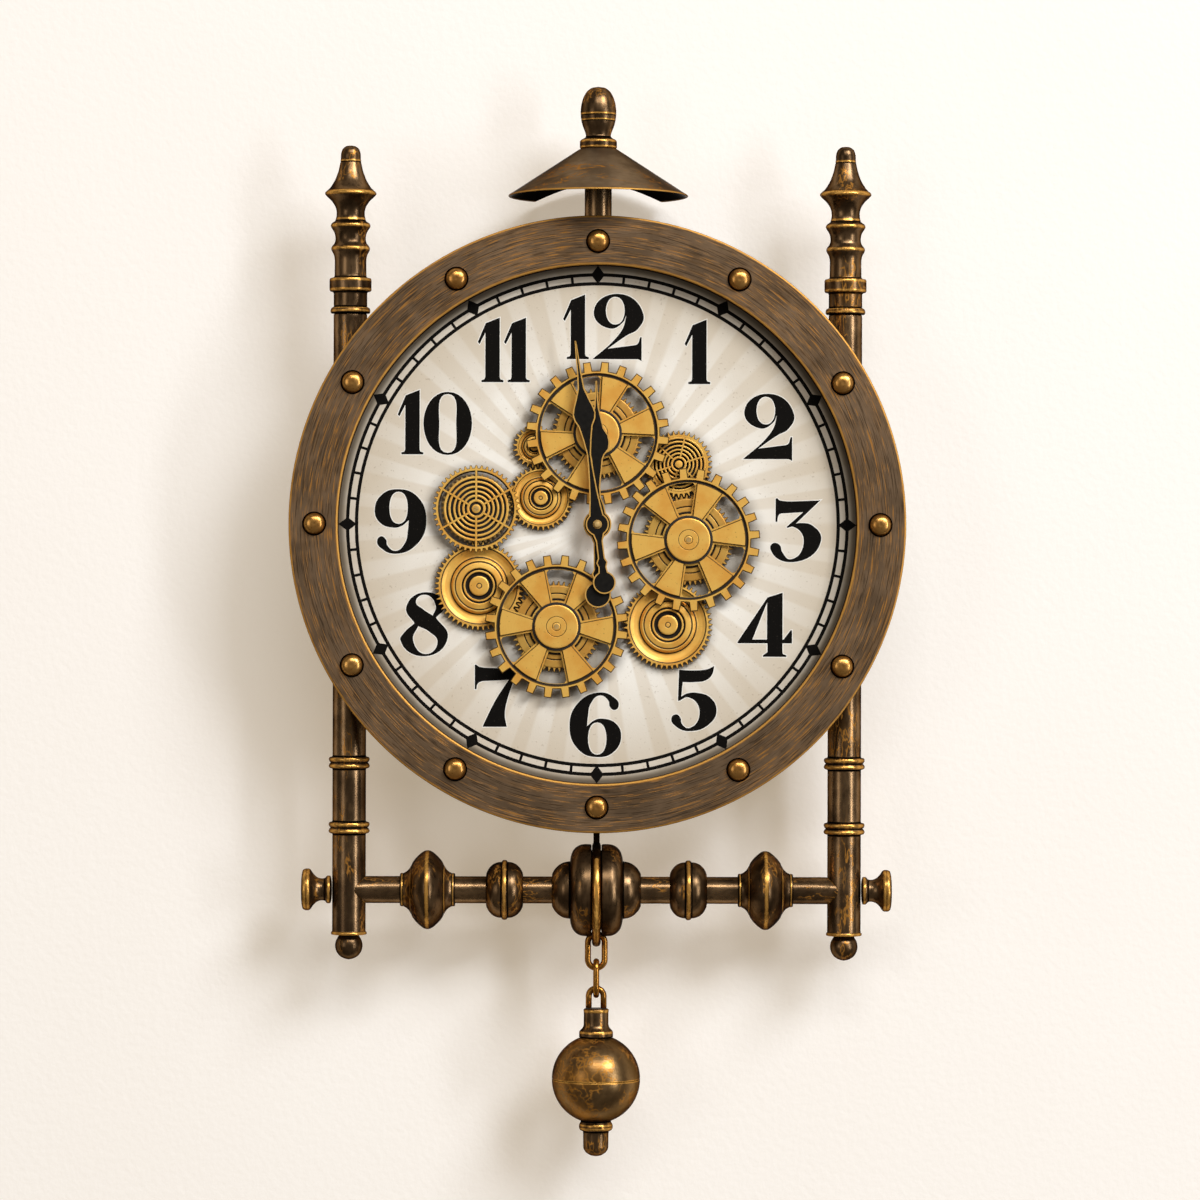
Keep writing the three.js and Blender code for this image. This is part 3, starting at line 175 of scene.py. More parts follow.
lamp("window", (4.76, -5.46, 5.14), (3.6, 3), 600, (0.97, 0.985, 1))
lamp("ceiling_panel", (0.5, -5.2, 4.1), (3.9, 0.9), 132, (1, 0.97, 0.92))
lamp("narrow_window", (6.7, -5.6, -0.2), (0.95, 4.7), 186, (0.97, 0.985, 1))
lamp("left_window", (-3.6, -4.2, 0.2), (1.6, 2.4), 24, (1, 0.95, 0.88))
lamp("rear_panel", (0, 5, 0.6), (4, 4), 150, (1, 0.97, 0.93))
room = bpy.data.worlds.new("room")
room.use_nodes = True
air = room.node_tree.nodes["Background"]
fill(room.node_tree, air, {"Color": (1, 0.88, 0.74, 1), "Strength": 0.12})
bpy.context.scene.world = room

# Dial plate: a thin steel disc under a printed sheet, cream with pale rays from its centre,
# browner towards the rim, with a painted shadow of the rim round its edge and painted shadows
# of the gears. The disc keeps its own shape and gets the print.
DIAL_DROP = 175
DIAL_BACK = 82
DIAL_FRONT = 84
SHEET_DEPTH = 0.4
RAYS = 40
STREAKS_AROUND = 22
STREAKS_OUTWARD = 2.3
CHAPTER_INNER = 213.2
CHAPTER_OUTER = 221.1
# Gears whose shadows are painted on the dial round them.
GEARS_CASTING_SHADOW = (
    "top_wheel", "right_wheel", "bottom_wheel", "left_ring_gear", "left_dish_gear", "right_dish_gear",
    "small_dish_gear", "right_ring_gear", "idler_gear",
)


def effect(name, inputs, outputs):
    """An empty shader node group with named inputs and outputs."""
    group = bpy.data.node_groups.new(name, "ShaderNodeTree")
    for kind, sockets in (("INPUT", inputs), ("OUTPUT", outputs)):
        for label, socket in sockets.items():
            group.interface.new_socket(name=label, in_out=kind, socket_type="NodeSocket" + socket)
    return group, group.nodes.new("NodeGroupInput").outputs, group.nodes.new("NodeGroupOutput")


def stained(tree, colour, mask, amount, stain):
    """A colour with a stain laid over it where a mask is."""
    return blend(tree, times(tree, mask, amount), colour, stain)


def vector(tree, operation, sockets, output=0):
    return put(tree, "ShaderNodeVectorMath", sockets, operation=operation).outputs[output]


def dress(finished, *names):
    """Gives a finish to nodes that keep their own shape."""
    for name in names:
        nodes[name].data.materials.clear()
        nodes[name].data.materials.append(finished)


# Reads a place in metres from an axle along y: its radius in millimetres, its direction, and
# a vector that changes slowly round the axle and quickly away from it or along it, for marks of turning.
round_axle, given, result = effect(
    "round_axle",
    {"Place": "Vector", "Around": "Float", "Outward": "Float"},
    {"Radius": "Float", "Direction": "Vector", "Streak": "Vector"},
)
tree = round_axle
flat = vector(tree, "MULTIPLY", {0: given["Place"], 1: (1, 0, 1)})
radius = times(tree, vector(tree, "LENGTH", {0: flat}, "Value"), 1000)
direction = vector(tree, "NORMALIZE", {0: flat})
slow = vector(tree, "SCALE", {0: direction, "Scale": given["Around"]})
along = put(tree, "ShaderNodeSeparateXYZ", {"Vector": given["Place"]}).outputs["Y"]
reach = calc(tree, "MULTIPLY_ADD", along, -1000, radius)
quick = put(tree, "ShaderNodeCombineXYZ", {"Y": times(tree, reach, given["Outward"])}).outputs[0]
streak = vector(tree, "ADD", {0: slow, 1: quick})
fill(tree, result, {"Radius": radius, "Direction": direction, "Streak": streak})


def from_dial(tree):
    """The round_axle effect about the centre of the dial."""
    where = here(tree)
    centred = put(tree, "ShaderNodeMapping", {"Vector": where, "Location": (0, 0, DIAL_DROP / 1000)})
    sockets = {"Place": centred.outputs[0], "Around": STREAKS_AROUND, "Outward": STREAKS_OUTWARD}
    return where, put(tree, "ShaderNodeGroup", sockets, node_tree=round_axle).outputs


sheet, tree, surface = finish("printed_sheet")
where, dial = from_dial(tree)
ways = put(tree, "ShaderNodeSeparateXYZ", {"Vector": dial["Direction"]}).outputs
angle = calc(tree, "ARCTAN2", ways["Z"], ways["X"])
uneven = times(tree, noise(tree, dial["Direction"], 5, 1), 6)
ray = between(tree, calc(tree, "SINE", calc(tree, "MULTIPLY_ADD", angle, RAYS, uneven)), -0.35, 0.35)
shaded = times(tree, ray, between(tree, dial["Radius"], 5, 90))
paper = blend(tree, shaded, srgb(250, 245, 236), srgb(237, 228, 214))
damp = between(tree, noise(tree, where, 26, 5), 0.42, 0.72)
paper = stained(tree, paper, damp, 0.25, srgb(214, 199, 176))
paper = stained(tree, paper, between(tree, dial["Radius"], 120, 234), 0.65, srgb(190, 172, 144))
outside = calc(tree, "GREATER_THAN", dial["Radius"], CHAPTER_INNER)
band = times(tree, outside, calc(tree, "LESS_THAN", dial["Radius"], CHAPTER_OUTER))
paper = stained(tree, paper, band, 0.35, srgb(226, 218, 206))
# Painted shadow of the rim: the dial goes dark brown round its edge.
paper = stained(tree, paper, between(tree, dial["Radius"], 220, 228), 0.88, srgb(92, 78, 60))
# Painted shadows of the gears: the dial goes darker round each of them.
painted_gear_shadow = 0.0
for name in GEARS_CASTING_SHADOW:
    low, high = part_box(name)
    middle = (low + high) / 2
    reach = (high.x - low.x) / 2
    centre = (middle.x, -DIAL_FRONT / 1000, middle.z)
    away = vector(tree, "DISTANCE", {0: where, 1: centre}, "Value")
    painted_gear_shadow = calc(tree, "MAXIMUM", painted_gear_shadow, between(tree, away, reach + 0.009, reach - 0.008))
paper = stained(tree, paper, painted_gear_shadow, 0.52, srgb(104, 92, 74))
specks = between(tree, noise(tree, where, 420, 2), 0.66, 0.72)
paper = stained(tree, paper, specks, 0.3, srgb(150, 128, 98))
depth = put(tree, "ShaderNodeSeparateXYZ", {"Vector": where}).outputs["Y"]
printed = calc(tree, "LESS_THAN", depth, (SHEET_DEPTH - DIAL_FRONT) / 1000)
bare = blend(tree, noise(tree, where, 40, 4), srgb(98, 97, 94), srgb(132, 130, 126))
fill(tree, surface, {
    "Base Color": blend(tree, printed, bare, paper),
    "Metallic": calc(tree, "SUBTRACT", 1, printed),
    "Roughness": calc(tree, "MULTIPLY_ADD", printed, 0.1, 0.55),
    "Specular IOR Level": 0.15,
})
raise_relief(tree, surface, noise(tree, where, 900, 3), 0.00008)
dress(sheet, "dial_plate")

# Chapter ring: two printed circles with a tick for each minute and a diamond for each hour,
# one layer of black ink on the sheet.
MINUTES = 60
LINE_WIDTH = 3
TICK_WIDTH = 2.4
DIAMOND = (6.2, 8, 1)
LINE_LIFT = 0.05
TICK_LIFT = 0.02
DIAMOND_LIFT = 0.04

ink, tree, surface = finish("printing_ink")
worn = between(tree, noise(tree, here(tree), 700, 4), 0.62, 0.74)
black_ink = stained(tree, srgb(17, 15, 13), worn, 0.3, srgb(84, 76, 66))
fill(tree, surface, {"Base Color": black_ink, "Roughness": 0.6, "Specular IOR Level": 0.05})
raise_relief(tree, surface, worn, 0.00003)


def facing_at(depth):
    """Turns what is drawn in x and y to face the front, at a depth from the wall."""
    return Matrix.Translation((0, -depth, 0)) @ Matrix.Rotation(math.pi / 2, 4, "X")


def face_front(bm):
    for face in bm.faces:
        face.material_index = 0
        if face.normal.y > 0:
            face.normal_flip()


def settle(bm, name, body, materials, replaced=()):
    """Puts a mesh drawn in millimetres about the dial in its place, as a piece that rides on a body."""
    bmesh.ops.translate(bm, vec=(0, 0, -DIAL_DROP), verts=bm.verts)
    bmesh.ops.scale(bm, vec=(0.001, 0.001, 0.001), verts=bm.verts)
    made = bpy.data.objects.new(name, bpy.data.meshes.new(name))
    bm.to_mesh(made.data)
    bm.free()
    for material in materials:
        made.data.materials.append(material)
    bpy.context.scene.collection.objects.link(made)
    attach(made, body)
    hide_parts(*replaced)
    return made


bm = bmesh.new()
for line in (CHAPTER_INNER, CHAPTER_OUTER):
    ends = [bm.verts.new((line + side * LINE_WIDTH / 2, 0, 0)) for side in (-1, 1)]
    bmesh.ops.spin(
        bm, geom=ends + [bm.edges.new(ends)], cent=(0, 0, 0), axis=(0, 0, 1), angle=2 * math.pi,
        steps=240, use_merge=True,
    )
for minute in range(MINUTES):
    turn = Matrix.Rotation(2 * math.pi * minute / MINUTES, 4, "Z")
    if minute % 5:
        reach = (CHAPTER_OUTER - CHAPTER_INNER) / 2
        at = turn @ Matrix.Translation((0, CHAPTER_INNER + reach, TICK_LIFT))
        shape = at @ Matrix.Diagonal((TICK_WIDTH, 2 * reach, 1, 1))
        bmesh.ops.create_grid(bm, x_segments=1, y_segments=1, size=0.5, matrix=shape)
    else:
        at = turn @ Matrix.Translation((0, CHAPTER_OUTER, DIAMOND_LIFT))
        shape = at @ Matrix.Diagonal((*DIAMOND, 1))
        bmesh.ops.create_circle(bm, cap_ends=True, segments=4, radius=1, matrix=shape)
bmesh.ops.transform(bm, matrix=facing_at(DIAL_FRONT + LINE_LIFT), verts=bm.verts)
bmesh.ops.recalc_face_normals(bm, faces=bm.faces)
face_front(bm)
settle(bm, "chapter_ring", "frame", [ink])

# Numbers: fat printed figures with hairline serifs, black ink over a slightly larger white
# under-print. Each outline is corners and smooth points, in units of its own, above a base line.
UNIT = 0.885
CORNER = "VECTOR"
SMOOTH = "AUTO"
UNDERPRINT = 0.7
UNDERPRINT_LIFT = 0.03
FIGURE_LIFT = 0.06


def oval(x, y, across, up):
    return [(x - across, y, SMOOTH), (x, y + up, SMOOTH), (x + across, y, SMOOTH), (x, y - up, SMOOTH)]


def corners(*points):
    return [(x, y, CORNER) for x, y in points]


def bends(*points):
    return [(x, y, SMOOTH) for x, y in points]


FIGURES = {
    "0": [oval(0, 31.6, 24.3, 31.6), oval(0, 31.6, 8.4, 29.4)],
    "1": [
        corners(
            (-11, 0), (11, 0), (11, 2), (8, 2.8), (7.2, 5), (7.2, 64.6), (-6.8, 59), (-14.8, 40),
            (-13, 38), (-7.2, 49.5), (-7.2, 5), (-8, 2.8), (-11, 2),
        )
    ],
    "2": [
        corners((-25, 0), (20.7, 0), (24.1, -1.7), (24.1, 22.1), (22.6, 22.1))
        + bends((20, 15.2))
        + corners((17.8, 14.1), (-9.7, 10.5))
        + bends(
            (9.6, 24), (20, 29.9), (25.9, 44.8), (0.7, 65.4), (-23.8, 47.7), (-8.2, 30.7), (5.1, 36.6),
        )
        + corners((8.7, 44))
        + bends((5.9, 32.2), (-2.3, 20.3)),
        oval(-2.3, 48.5, 9.4, 13.9),
    ],
    "3": [
        corners((-20.3, 63.5), (-18.7, 64))
        + bends((-16, 61.8))
        + corners((22.2, 61.7), (24.6, 62.2), (0, 38.6))
        + bends(
            (4.6, 39.2), (16.4, 36.9), (25.3, 21.9), (-3.3, 0), (-25.3, 12.7), (-23, 18.8), (-16.4, 17.4),
            (-13.5, 10.1), (-5.2, 2.9), (7.9, 21.9), (-2, 35.2),
        )
        + corners((-8.5, 34.3), (-9.4, 35.2), (7.2, 50), (-15, 48.7))
        + bends((-17, 47.4))
        + corners((-18.6, 40.5), (-20.3, 40.2))
    ],
    "4": [
        corners(
            (-27.2, 14.4), (-26.6, 13.5), (2.9, 13.5), (2.9, 4.5), (-1.3, 1.7), (-1.7, 0), (21.9, 0),
            (21.9, 1.6), (18.5, 2.8), (18, 4.5), (18, 13.5), (27.5, 13.5), (27.5, 26.7), (26, 26.5),
            (19.1, 17.3), (18, 17.1), (18, 64.2), (2.9, 59.4),
        ),
        corners((2.5, 54.4), (2.5, 17.3), (-12.2, 17.3)),
    ],
    "5": [
        corners((-15.4, 61.3))
        + bends((-0.6, 60.8), (12.6, 62))
        + corners((19.8, 65.2))
        + bends((17.4, 56.3), (11.4, 50.9), (0.6, 49.1))
        + corners((-11.7, 49.1), (-13.2, 34.6))
        + bends(
            (-7.8, 37.6), (4.2, 38.2), (16.2, 33.4), (22.2, 21.4), (16.2, 8.2), (-5.4, 0), (-19.8, 5.8),
            (-23.1, 12.4), (-18.4, 16.8), (-13.8, 13), (-12.6, 7.6), (-5.4, 3.1), (5.2, 20.2), (-6, 33.8),
        )
        + corners((-15, 30.4), (-16.5, 30.4))
    ],
    "6": [
        bends(
            (5.1, 64.7), (18.4, 59.9), (23.4, 52.7), (19.6, 47.2), (14.5, 50.3), (13, 56.3), (4.5, 61.7),
            (-4.5, 53.9), (-7.5, 40.6),
        )
        + corners((-8.3, 31))
        + bends(
            (-0.9, 37), (7.5, 38.5), (20.8, 33.4), (25.8, 20.8), (18.4, 5.2), (1.8, 0), (-16.5, 7),
            (-25.9, 31), (-16.5, 55.1),
        ),
        oval(1.9, 18.6, 9.2, 16.1),
    ],
    "7": [
        corners((-20.7, 62.1), (-19.4, 62.1))
        + bends((-16, 60))
        + corners((21.5, 59), (21.5, 56))
        + bends((17.9, 45.4), (12.2, 28.5), (9.4, 12.7))
        + corners((11.3, 0), (-12.6, 0), (-12.6, 0.9))
        + bends((-0.2, 26.2))
        + corners((13.3, 47.1), (-13.7, 45.6))
        + bends((-17.7, 43.2))
        + corners((-19.1, 37.5), (-20.7, 37.5))
    ],
    "8": [
        bends((0.9, 64.1), (-18.5, 48.7))
        + corners((-10.1, 33))
        + bends((-20.9, 23.1), (-24.3, 16.4), (0.6, 0), (23.3, 19.1))
        + corners((11.4, 38.6))
        + bends((20.2, 51)),
        bends((0.9, 61.5), (11.2, 50.1)) + corners((8.1, 40.7)) + bends((-2, 47.4), (-8.8, 54.8)),
        corners((-6.4, 30.1)) + bends((4.7, 24.5), (13, 14.4), (1.3, 2.2), (-11.5, 16.4)),
    ],
}
NINE_TOP = 64.7
FIGURES["9"] = [[(-x, NINE_TOP - y, kind) for x, y, kind in outline] for outline in FIGURES["6"]]
PLACES = [
    ("1", -17.7, 146.5), ("2", 17.4, 146.5), ("1", 89.9, 124.6), ("2", 150.9, 58.4), ("3", 175.7, -32.8),
    ("4", 148.2, -116.6), ("5", 86.3, -182.6), ("6", -1.3, -205.8), ("7", -89.8, -179.2),
    ("8", -152.7, -116.9), ("9", -174.3, -26.3), ("1", -163.9, 61.8), ("0", -132.7, 61.3),
    ("1", -93.2, 125.9), ("1", -70, 125.9),
]


def grained(name, scale, first, second, rough, spread=0, metallic=0, detail=3, stretch=None):
    """A finish whose colour, and where it has a spread its roughness, follow one fine grain."""
    made, tree, surface = finish(name, metallic)
    where = here(tree)
    if stretch:
        where = put(tree, "ShaderNodeMapping", {"Vector": where, "Scale": stretch}).outputs[0]
    grain = noise(tree, where, scale, detail)
    if spread:
        rough = calc(tree, "MULTIPLY_ADD", grain, spread, rough)
    fill(tree, surface, {"Base Color": blend(tree, grain, first, second), "Roughness": rough})
    return made, tree, surface, grain


white, *_ = grained("white_underprint", 300, srgb(236, 230, 220), srgb(250, 247, 240), 0.6)


def runs_clockwise(outline):
    shifted = outline[1:] + outline[:1]
    return sum(x * ny - nx * y for (x, y, _), (nx, ny, _) in zip(outline, shifted)) < 0


def print_figures(name, grow, depth, material):
    """Draws every figure as a flat curve, grown by a margin, and makes it a mesh in front of the dial."""
    drawing = bpy.data.curves.new(name, "CURVE")
    drawing.dimensions = "2D"
    drawing.fill_mode = "BOTH"
    drawing.resolution_u = 8
    drawing.offset = grow
    for figure, across, base in PLACES:
        for place, outline in enumerate(FIGURES[figure]):
            if runs_clockwise(outline) == (place == 0):
                outline = outline[::-1]
            spline = drawing.splines.new("BEZIER")
            spline.bezier_points.add(len(outline) - 1)
            spline.use_cyclic_u = True
            for point, (x, y, kind) in zip(spline.bezier_points, outline):
                point.co = (across + UNIT * x, base + UNIT * y, 0)
                point.handle_left_type = kind
                point.handle_right_type = kind
    holder = bpy.data.objects.new(name + "_drawing", drawing)
    bpy.context.scene.collection.objects.link(holder)
    bpy.context.view_layer.update()
    filled = bpy.data.meshes.new_from_object(holder.evaluated_get(bpy.context.evaluated_depsgraph_get()))
    bpy.data.objects.remove(holder)
    bm = bmesh.new()
    bm.from_mesh(filled)
    bpy.data.meshes.remove(filled)
    bmesh.ops.transform(bm, matrix=facing_at(depth), verts=bm.verts)
    face_front(bm)
    settle(bm, name, "frame", [material])


print_figures("figure_underprint", UNDERPRINT, DIAL_FRONT + UNDERPRINT_LIFT, white)
print_figures("figures", 0, DIAL_FRONT + FIGURE_LIFT, ink)

# Rim: a ring stamped from sheet as a shallow channel, lacquered brown over brass. Handling has
# rubbed its two edges bright, and brushing has left streaks that run round its face. Its inner wall is
# painted dark as shade.
RIM_OUTER = 272.3
RIM_INNER = 228.8
RIM_FRONT = 103
SHEET = 1.5
GAP = 0.3
RUBBED = srgb(208, 148, 70)
BRIGHT = srgb(250, 194, 104)
GRIME_AND_SHADE = srgb(12, 9, 7)
LACQUER = (0.72, 0.68, 0.62, 1)
SLANT_TINT = (0.1, 0.08, 0.06, 1)
CAST_RELIEF = 0.000015
BRUSHED_RELIEF = 0.00006
FACING = Matrix.Rotation(math.pi / 2, 4, "X")
ROW_LENGTH = 3
WORN_ROW_LENGTH = 0.8
MOST_ROUNDING = 0.45
SHARP = math.radians(38)

# Brown lacquer over brass: a little cloudy, scored with dark lines where it is brushed, with patches
# of hair scratches and rubbed edges that show the brass, and dark dirt and painted shade in corners.
# Rub is a piece's own wear, from -1 where dirt and painted shade darken it to 1 on an edge.
aged_bronze, given, result = effect(
    "aged_bronze",
    {
        "Place": "Vector", "Streak": "Vector", "Rub_and_Shade": "Float", "Scratches": "Float", "Gilding": "Float",
        "Gloss": "Float", "Brushed": "Float", "Dark": "Color", "Brown": "Color",
    },
    {"Color": "Color", "Metallic": "Float", "Roughness": "Float", "Relief": "Float"},
)
tree = aged_bronze
cloud = noise(tree, given["Place"], 34, 4)
grain = noise(tree, given["Streak"], 0.9, 3)
brown = blend(tree, between(tree, cloud, 0.3, 0.7), given["Dark"], given["Brown"])
brown = stained(tree, brown, between(tree, grain, 0.52, 0.34), 0.4, given["Dark"])
line = noise(tree, given["Streak"], 0.5, 2)
off_line = calc(tree, "ABSOLUTE", calc(tree, "SUBTRACT", line, 0.5))
curl = between(tree, off_line, 0.045, 0.012)
dash = times(tree, between(tree, line, 0.57, 0.64), 0.75)
scored = times(tree, between(tree, line, 0.45, 0.37), given["Brushed"])
brown = stained(tree, brown, scored, 0.5, GRIME_AND_SHADE)
hair = put(tree, "ShaderNodeMix", {0: given["Brushed"], 2: curl, 3: dash}).outputs[0]
area = noise(tree, given["Streak"], 0.13, 2)
handled = calc(tree, "MULTIPLY_ADD", given["Scratches"], 0.2, area)
scratch = times(tree, hair, between(tree, handled, 0.62, 0.7))
brown = stained(tree, brown, between(tree, handled, 0.64, 0.86), given["Gilding"], RUBBED)
uneven = times(tree, calc(tree, "SUBTRACT", grain, 0.5), 0.6)
ragged = calc(tree, "ADD", given["Rub_and_Shade"], uneven)
worn = between(tree, ragged, 0.2, 0.55)
shown = calc(tree, "MAXIMUM", scratch, worn)
brass = blend(tree, between(tree, ragged, 0.32, 0.8), RUBBED, BRIGHT)
colour = blend(tree, shown, brown, brass)
# Dirt and painted shade: dark where the rub is below zero.
dirt_and_shade = between(tree, given["Rub_and_Shade"], -0.1, -0.7)
colour = blend(tree, dirt_and_shade, colour, GRIME_AND_SHADE)
gloss = calc(tree, "MULTIPLY_ADD", uneven, 0.3, given["Gloss"])
gloss = calc(tree, "MULTIPLY_ADD", dirt_and_shade, 0.4, gloss)
gloss = calc(tree, "MULTIPLY_ADD", worn, -0.04, gloss)
metal = calc(tree, "MULTIPLY_ADD", worn, -0.28, 0.92)
metal = calc(tree, "MULTIPLY_ADD", scratch, -0.5, metal)
relief = calc(tree, "SUBTRACT", times(tree, grain, 0.4), shown)
fill(tree, result, {"Color": colour, "Metallic": metal, "Roughness": gloss, "Relief": relief})


def bronze(name, dark, brown, stretch=None, scratches=0.4, gilding=0.22, gloss=0.27):
    """Aged bronze whose scratches curl along a stretched axis, or are brushed round the dial.
    Its lacquer is a thin clear brown coat, so that it looks deeper at a slant."""
    made, tree, surface = finish(name)
    where, dial = from_dial(tree)
    streak = dial["Streak"]
    if stretch:
        streak = put(tree, "ShaderNodeMapping", {"Vector": where, "Scale": stretch}).outputs[0]
    rub_and_shade = put(tree, "ShaderNodeAttribute", attribute_name="rub_and_shade").outputs["Fac"]
    sockets = {
        "Place": where, "Streak": streak, "Rub_and_Shade": rub_and_shade, "Scratches": scratches, "Gilding": gilding,
        "Gloss": gloss, "Brushed": 0 if stretch else 1, "Dark": dark, "Brown": brown,
    }
    aged = put(tree, "ShaderNodeGroup", sockets, node_tree=aged_bronze).outputs
    fill(tree, surface, {
        "Base Color": aged["Color"], "Metallic": aged["Metallic"], "Roughness": aged["Roughness"],
        "Specular Tint": SLANT_TINT, "Coat Weight": 1, "Coat IOR": 1.01, "Coat Tint": LACQUER,
    })
    raise_relief(tree, surface, aged["Relief"], CAST_RELIEF if stretch else BRUSHED_RELIEF)
    return made


def divide(bm, edges, length):
    """Cuts edges into parts no longer than a length."""
    for edge in edges:
        cuts = int(edge.calc_length() / length)
        if cuts:
            bmesh.ops.subdivide_edges(bm, edges=[edge], cuts=cuts)


def join(bm, wire, closed):
    """Edges from each point of a wire to the next."""
    return [bm.edges.new(pair) for pair in zip(wire, wire[1:] + wire[:1] if closed else wire[1:])]


def is_near(edge, at, reach):
    return min((vert.co - at).length for vert in edge.verts) < reach


def turned(profile, place, steps=64, rounding=0.8, closed=False, row=ROW_LENGTH):
    """A piece turned on a lathe from corners of radius and height. A third number is the width of
    the rubbed edge at that corner, or below zero the width of its dirt and painted shade. Corners are
    rounded."""
    bm = bmesh.new()
    wire = [bm.verts.new((corner[0], 0, corner[1])) for corner in profile]
    join(bm, wire, closed)
    for corner in wire if closed else wire[1:-1]:
        reach = min(rounding, MOST_ROUNDING * min(edge.calc_length() for edge in corner.link_edges))
        bmesh.ops.bevel(
            bm, geom=[corner], offset=reach, offset_type="OFFSET", segments=3, profile=0.5,
            affect="VERTICES", material=-1, clamp_overlap=False,
        )
    worn = [(Vector((corner[0], 0, corner[1])), corner[2]) for corner in profile if len(corner) == 3]
    divide(bm, bm.edges[:], row)
    rubbed = [edge for edge in bm.edges if any(is_near(edge, at, 2 * abs(wear_and_shade)) for at, wear_and_shade in worn)]
    divide(bm, rubbed, WORN_ROW_LENGTH)
    rub_and_shade = bm.verts.layers.float.new("rub_and_shade")
    for at, wear_and_shade in worn:
        for vert in bm.verts:
            near = max(0, 1 - (vert.co - at).length / (2 * abs(wear_and_shade)))
            if near > abs(vert[rub_and_shade]):
                vert[rub_and_shade] = math.copysign(near, wear_and_shade)
    bmesh.ops.spin(
        bm, geom=bm.verts[:] + bm.edges[:], cent=(0, 0, 0), axis=(0, 0, 1), angle=2 * math.pi,
        steps=steps, use_merge=True,
    )
    bmesh.ops.remove_doubles(bm, verts=bm.verts, dist=0.001)
    bmesh.ops.recalc_face_normals(bm, faces=bm.faces)
    shade(bm)
    bmesh.ops.transform(bm, matrix=place, verts=bm.verts)
    return bm


def shade(bm):
    """Smooth faces that meet at a clear edge where they turn sharply."""
    for face in bm.faces:
        face.smooth = True
    for edge in bm.edges:
        edge.smooth = len(edge.link_faces) == 2 and edge.calc_face_angle() < SHARP


rim_bronze = bronze(
    "rim_bronze", srgb(124, 104, 84), srgb(156, 132, 108), scratches=1.1, gilding=0.08, gloss=0.56
)
bm = turned(
    [
        (RIM_OUTER, DIAL_BACK), (RIM_OUTER, RIM_FRONT, 1.3), (RIM_INNER, RIM_FRONT, 1.6),
        # The foot of the inner wall, down to the dial, is painted dark as shade.
        (RIM_INNER, DIAL_FRONT + GAP, -4), (RIM_INNER + SHEET, DIAL_FRONT + GAP),
        (RIM_INNER + SHEET, RIM_FRONT - SHEET), (RIM_OUTER - SHEET, RIM_FRONT - SHEET),
        (RIM_OUTER - SHEET, DIAL_BACK),
    ],
    FACING, steps=192, rounding=1.4, closed=True,
)
settle(bm, "rim", "frame", [rim_bronze], ["bezel_ring"])

# Rivets: twelve domed heads of bare brass, pressed through the rim and closed behind it, with a dark
# ring round their feet that is painted shade.
RIVETS = 12
RIVET_CIRCLE = 249.5

rivet_bronze = bronze(
    "rivet_bronze", srgb(228, 162, 84), srgb(252, 200, 120), (500, 500, 500), scratches=-1, gloss=0.3
)
bm = turned(
    [
        # The foot and the flange under it are painted dark as shade, an outline round each rivet.
        (0, 102), (10.7, 102), (10.7, 103.4, -1.6), (9.6, 103.5, -1), (9.3, 105), (8.2, 106.9),
        (6.2, 108.4), (3.6, 109.2), (1.9, 109.4), (0, 109.2),
    ],
    Matrix.Translation((RIVET_CIRCLE, 0, 0)) @ FACING, steps=32,
)
bmesh.ops.spin(
    bm, geom=bm.verts[:] + bm.edges[:] + bm.faces[:], cent=(0, 0, 0), axis=(0, -1, 0),
    angle=2 * math.pi * (RIVETS - 1) / RIVETS, steps=RIVETS - 1, use_duplicate=True,
)
settle(bm, "rivets", "frame", [rivet_bronze], ["bezel_ring"])

# Drum: a band of sheet behind the dial that stands it off the wall, and a flat flange at its back,
# lacquered as the rim is. A keyhole plate of bare steel is fixed inside the flange.
DRUM_RADIUS = 190
DRUM_FLANGE = 30
PLATE_BACK = DIAL_BACK - GAP

drum_bronze = bronze("drum_bronze", srgb(78, 62, 48), srgb(120, 98, 76), scratches=0.3, gloss=0.4)
bm = turned(
    [
        (DRUM_RADIUS, SHEET + GAP), (DRUM_RADIUS, PLATE_BACK), (DRUM_RADIUS - SHEET, PLATE_BACK),
        (DRUM_RADIUS - SHEET, SHEET + GAP),
    ],
    FACING, steps=128, rounding=0.2, closed=True,
)
settle(bm, "drum_band", "frame", [drum_bronze], ["rear_drum"])
bm = turned(
    [
        (DRUM_RADIUS, 0, 1), (DRUM_RADIUS, SHEET, 1), (DRUM_RADIUS - DRUM_FLANGE, SHEET),
        (DRUM_RADIUS - DRUM_FLANGE, 0, 1),
    ],
    FACING, steps=128, rounding=0.3, closed=True,
)
settle(bm, "wall_flange", "frame", [drum_bronze], ["drum_flange"])

steel, tree, surface, grain = grained(
    "brushed_steel", 1, srgb(120, 118, 114), srgb(188, 186, 180), 0.25, 0.2, 1, stretch=(1200, 1200, 60)
)
raise_relief(tree, surface, grain, 0.00004)
dress(steel, "hanger_plate")

# Columns: two lengths of lacquered tube behind the rim, each with two pairs of rings below the
# dial and a rolled bottom edge.
AXIS_DEPTH = 63
COLUMN_SPREAD = 220.2
COLUMN = 14.9
COLUMN_TOP = 187
COLUMN_BOTTOM = -364.8
UPPER_RINGS = -211.8
LOWER_RINGS = -269.6
SIDES = {"left": -1, "right": 1}

BRONZE_DARK = srgb(108, 87, 66)
BRONZE_BROWN = srgb(180, 149, 114)
upright_bronze = bronze("upright_bronze", BRONZE_DARK, BRONZE_BROWN, (420, 420, 120), scratches=0.58)


def upright(x=0):
    return Matrix.Translation((x, -AXIS_DEPTH, 0))


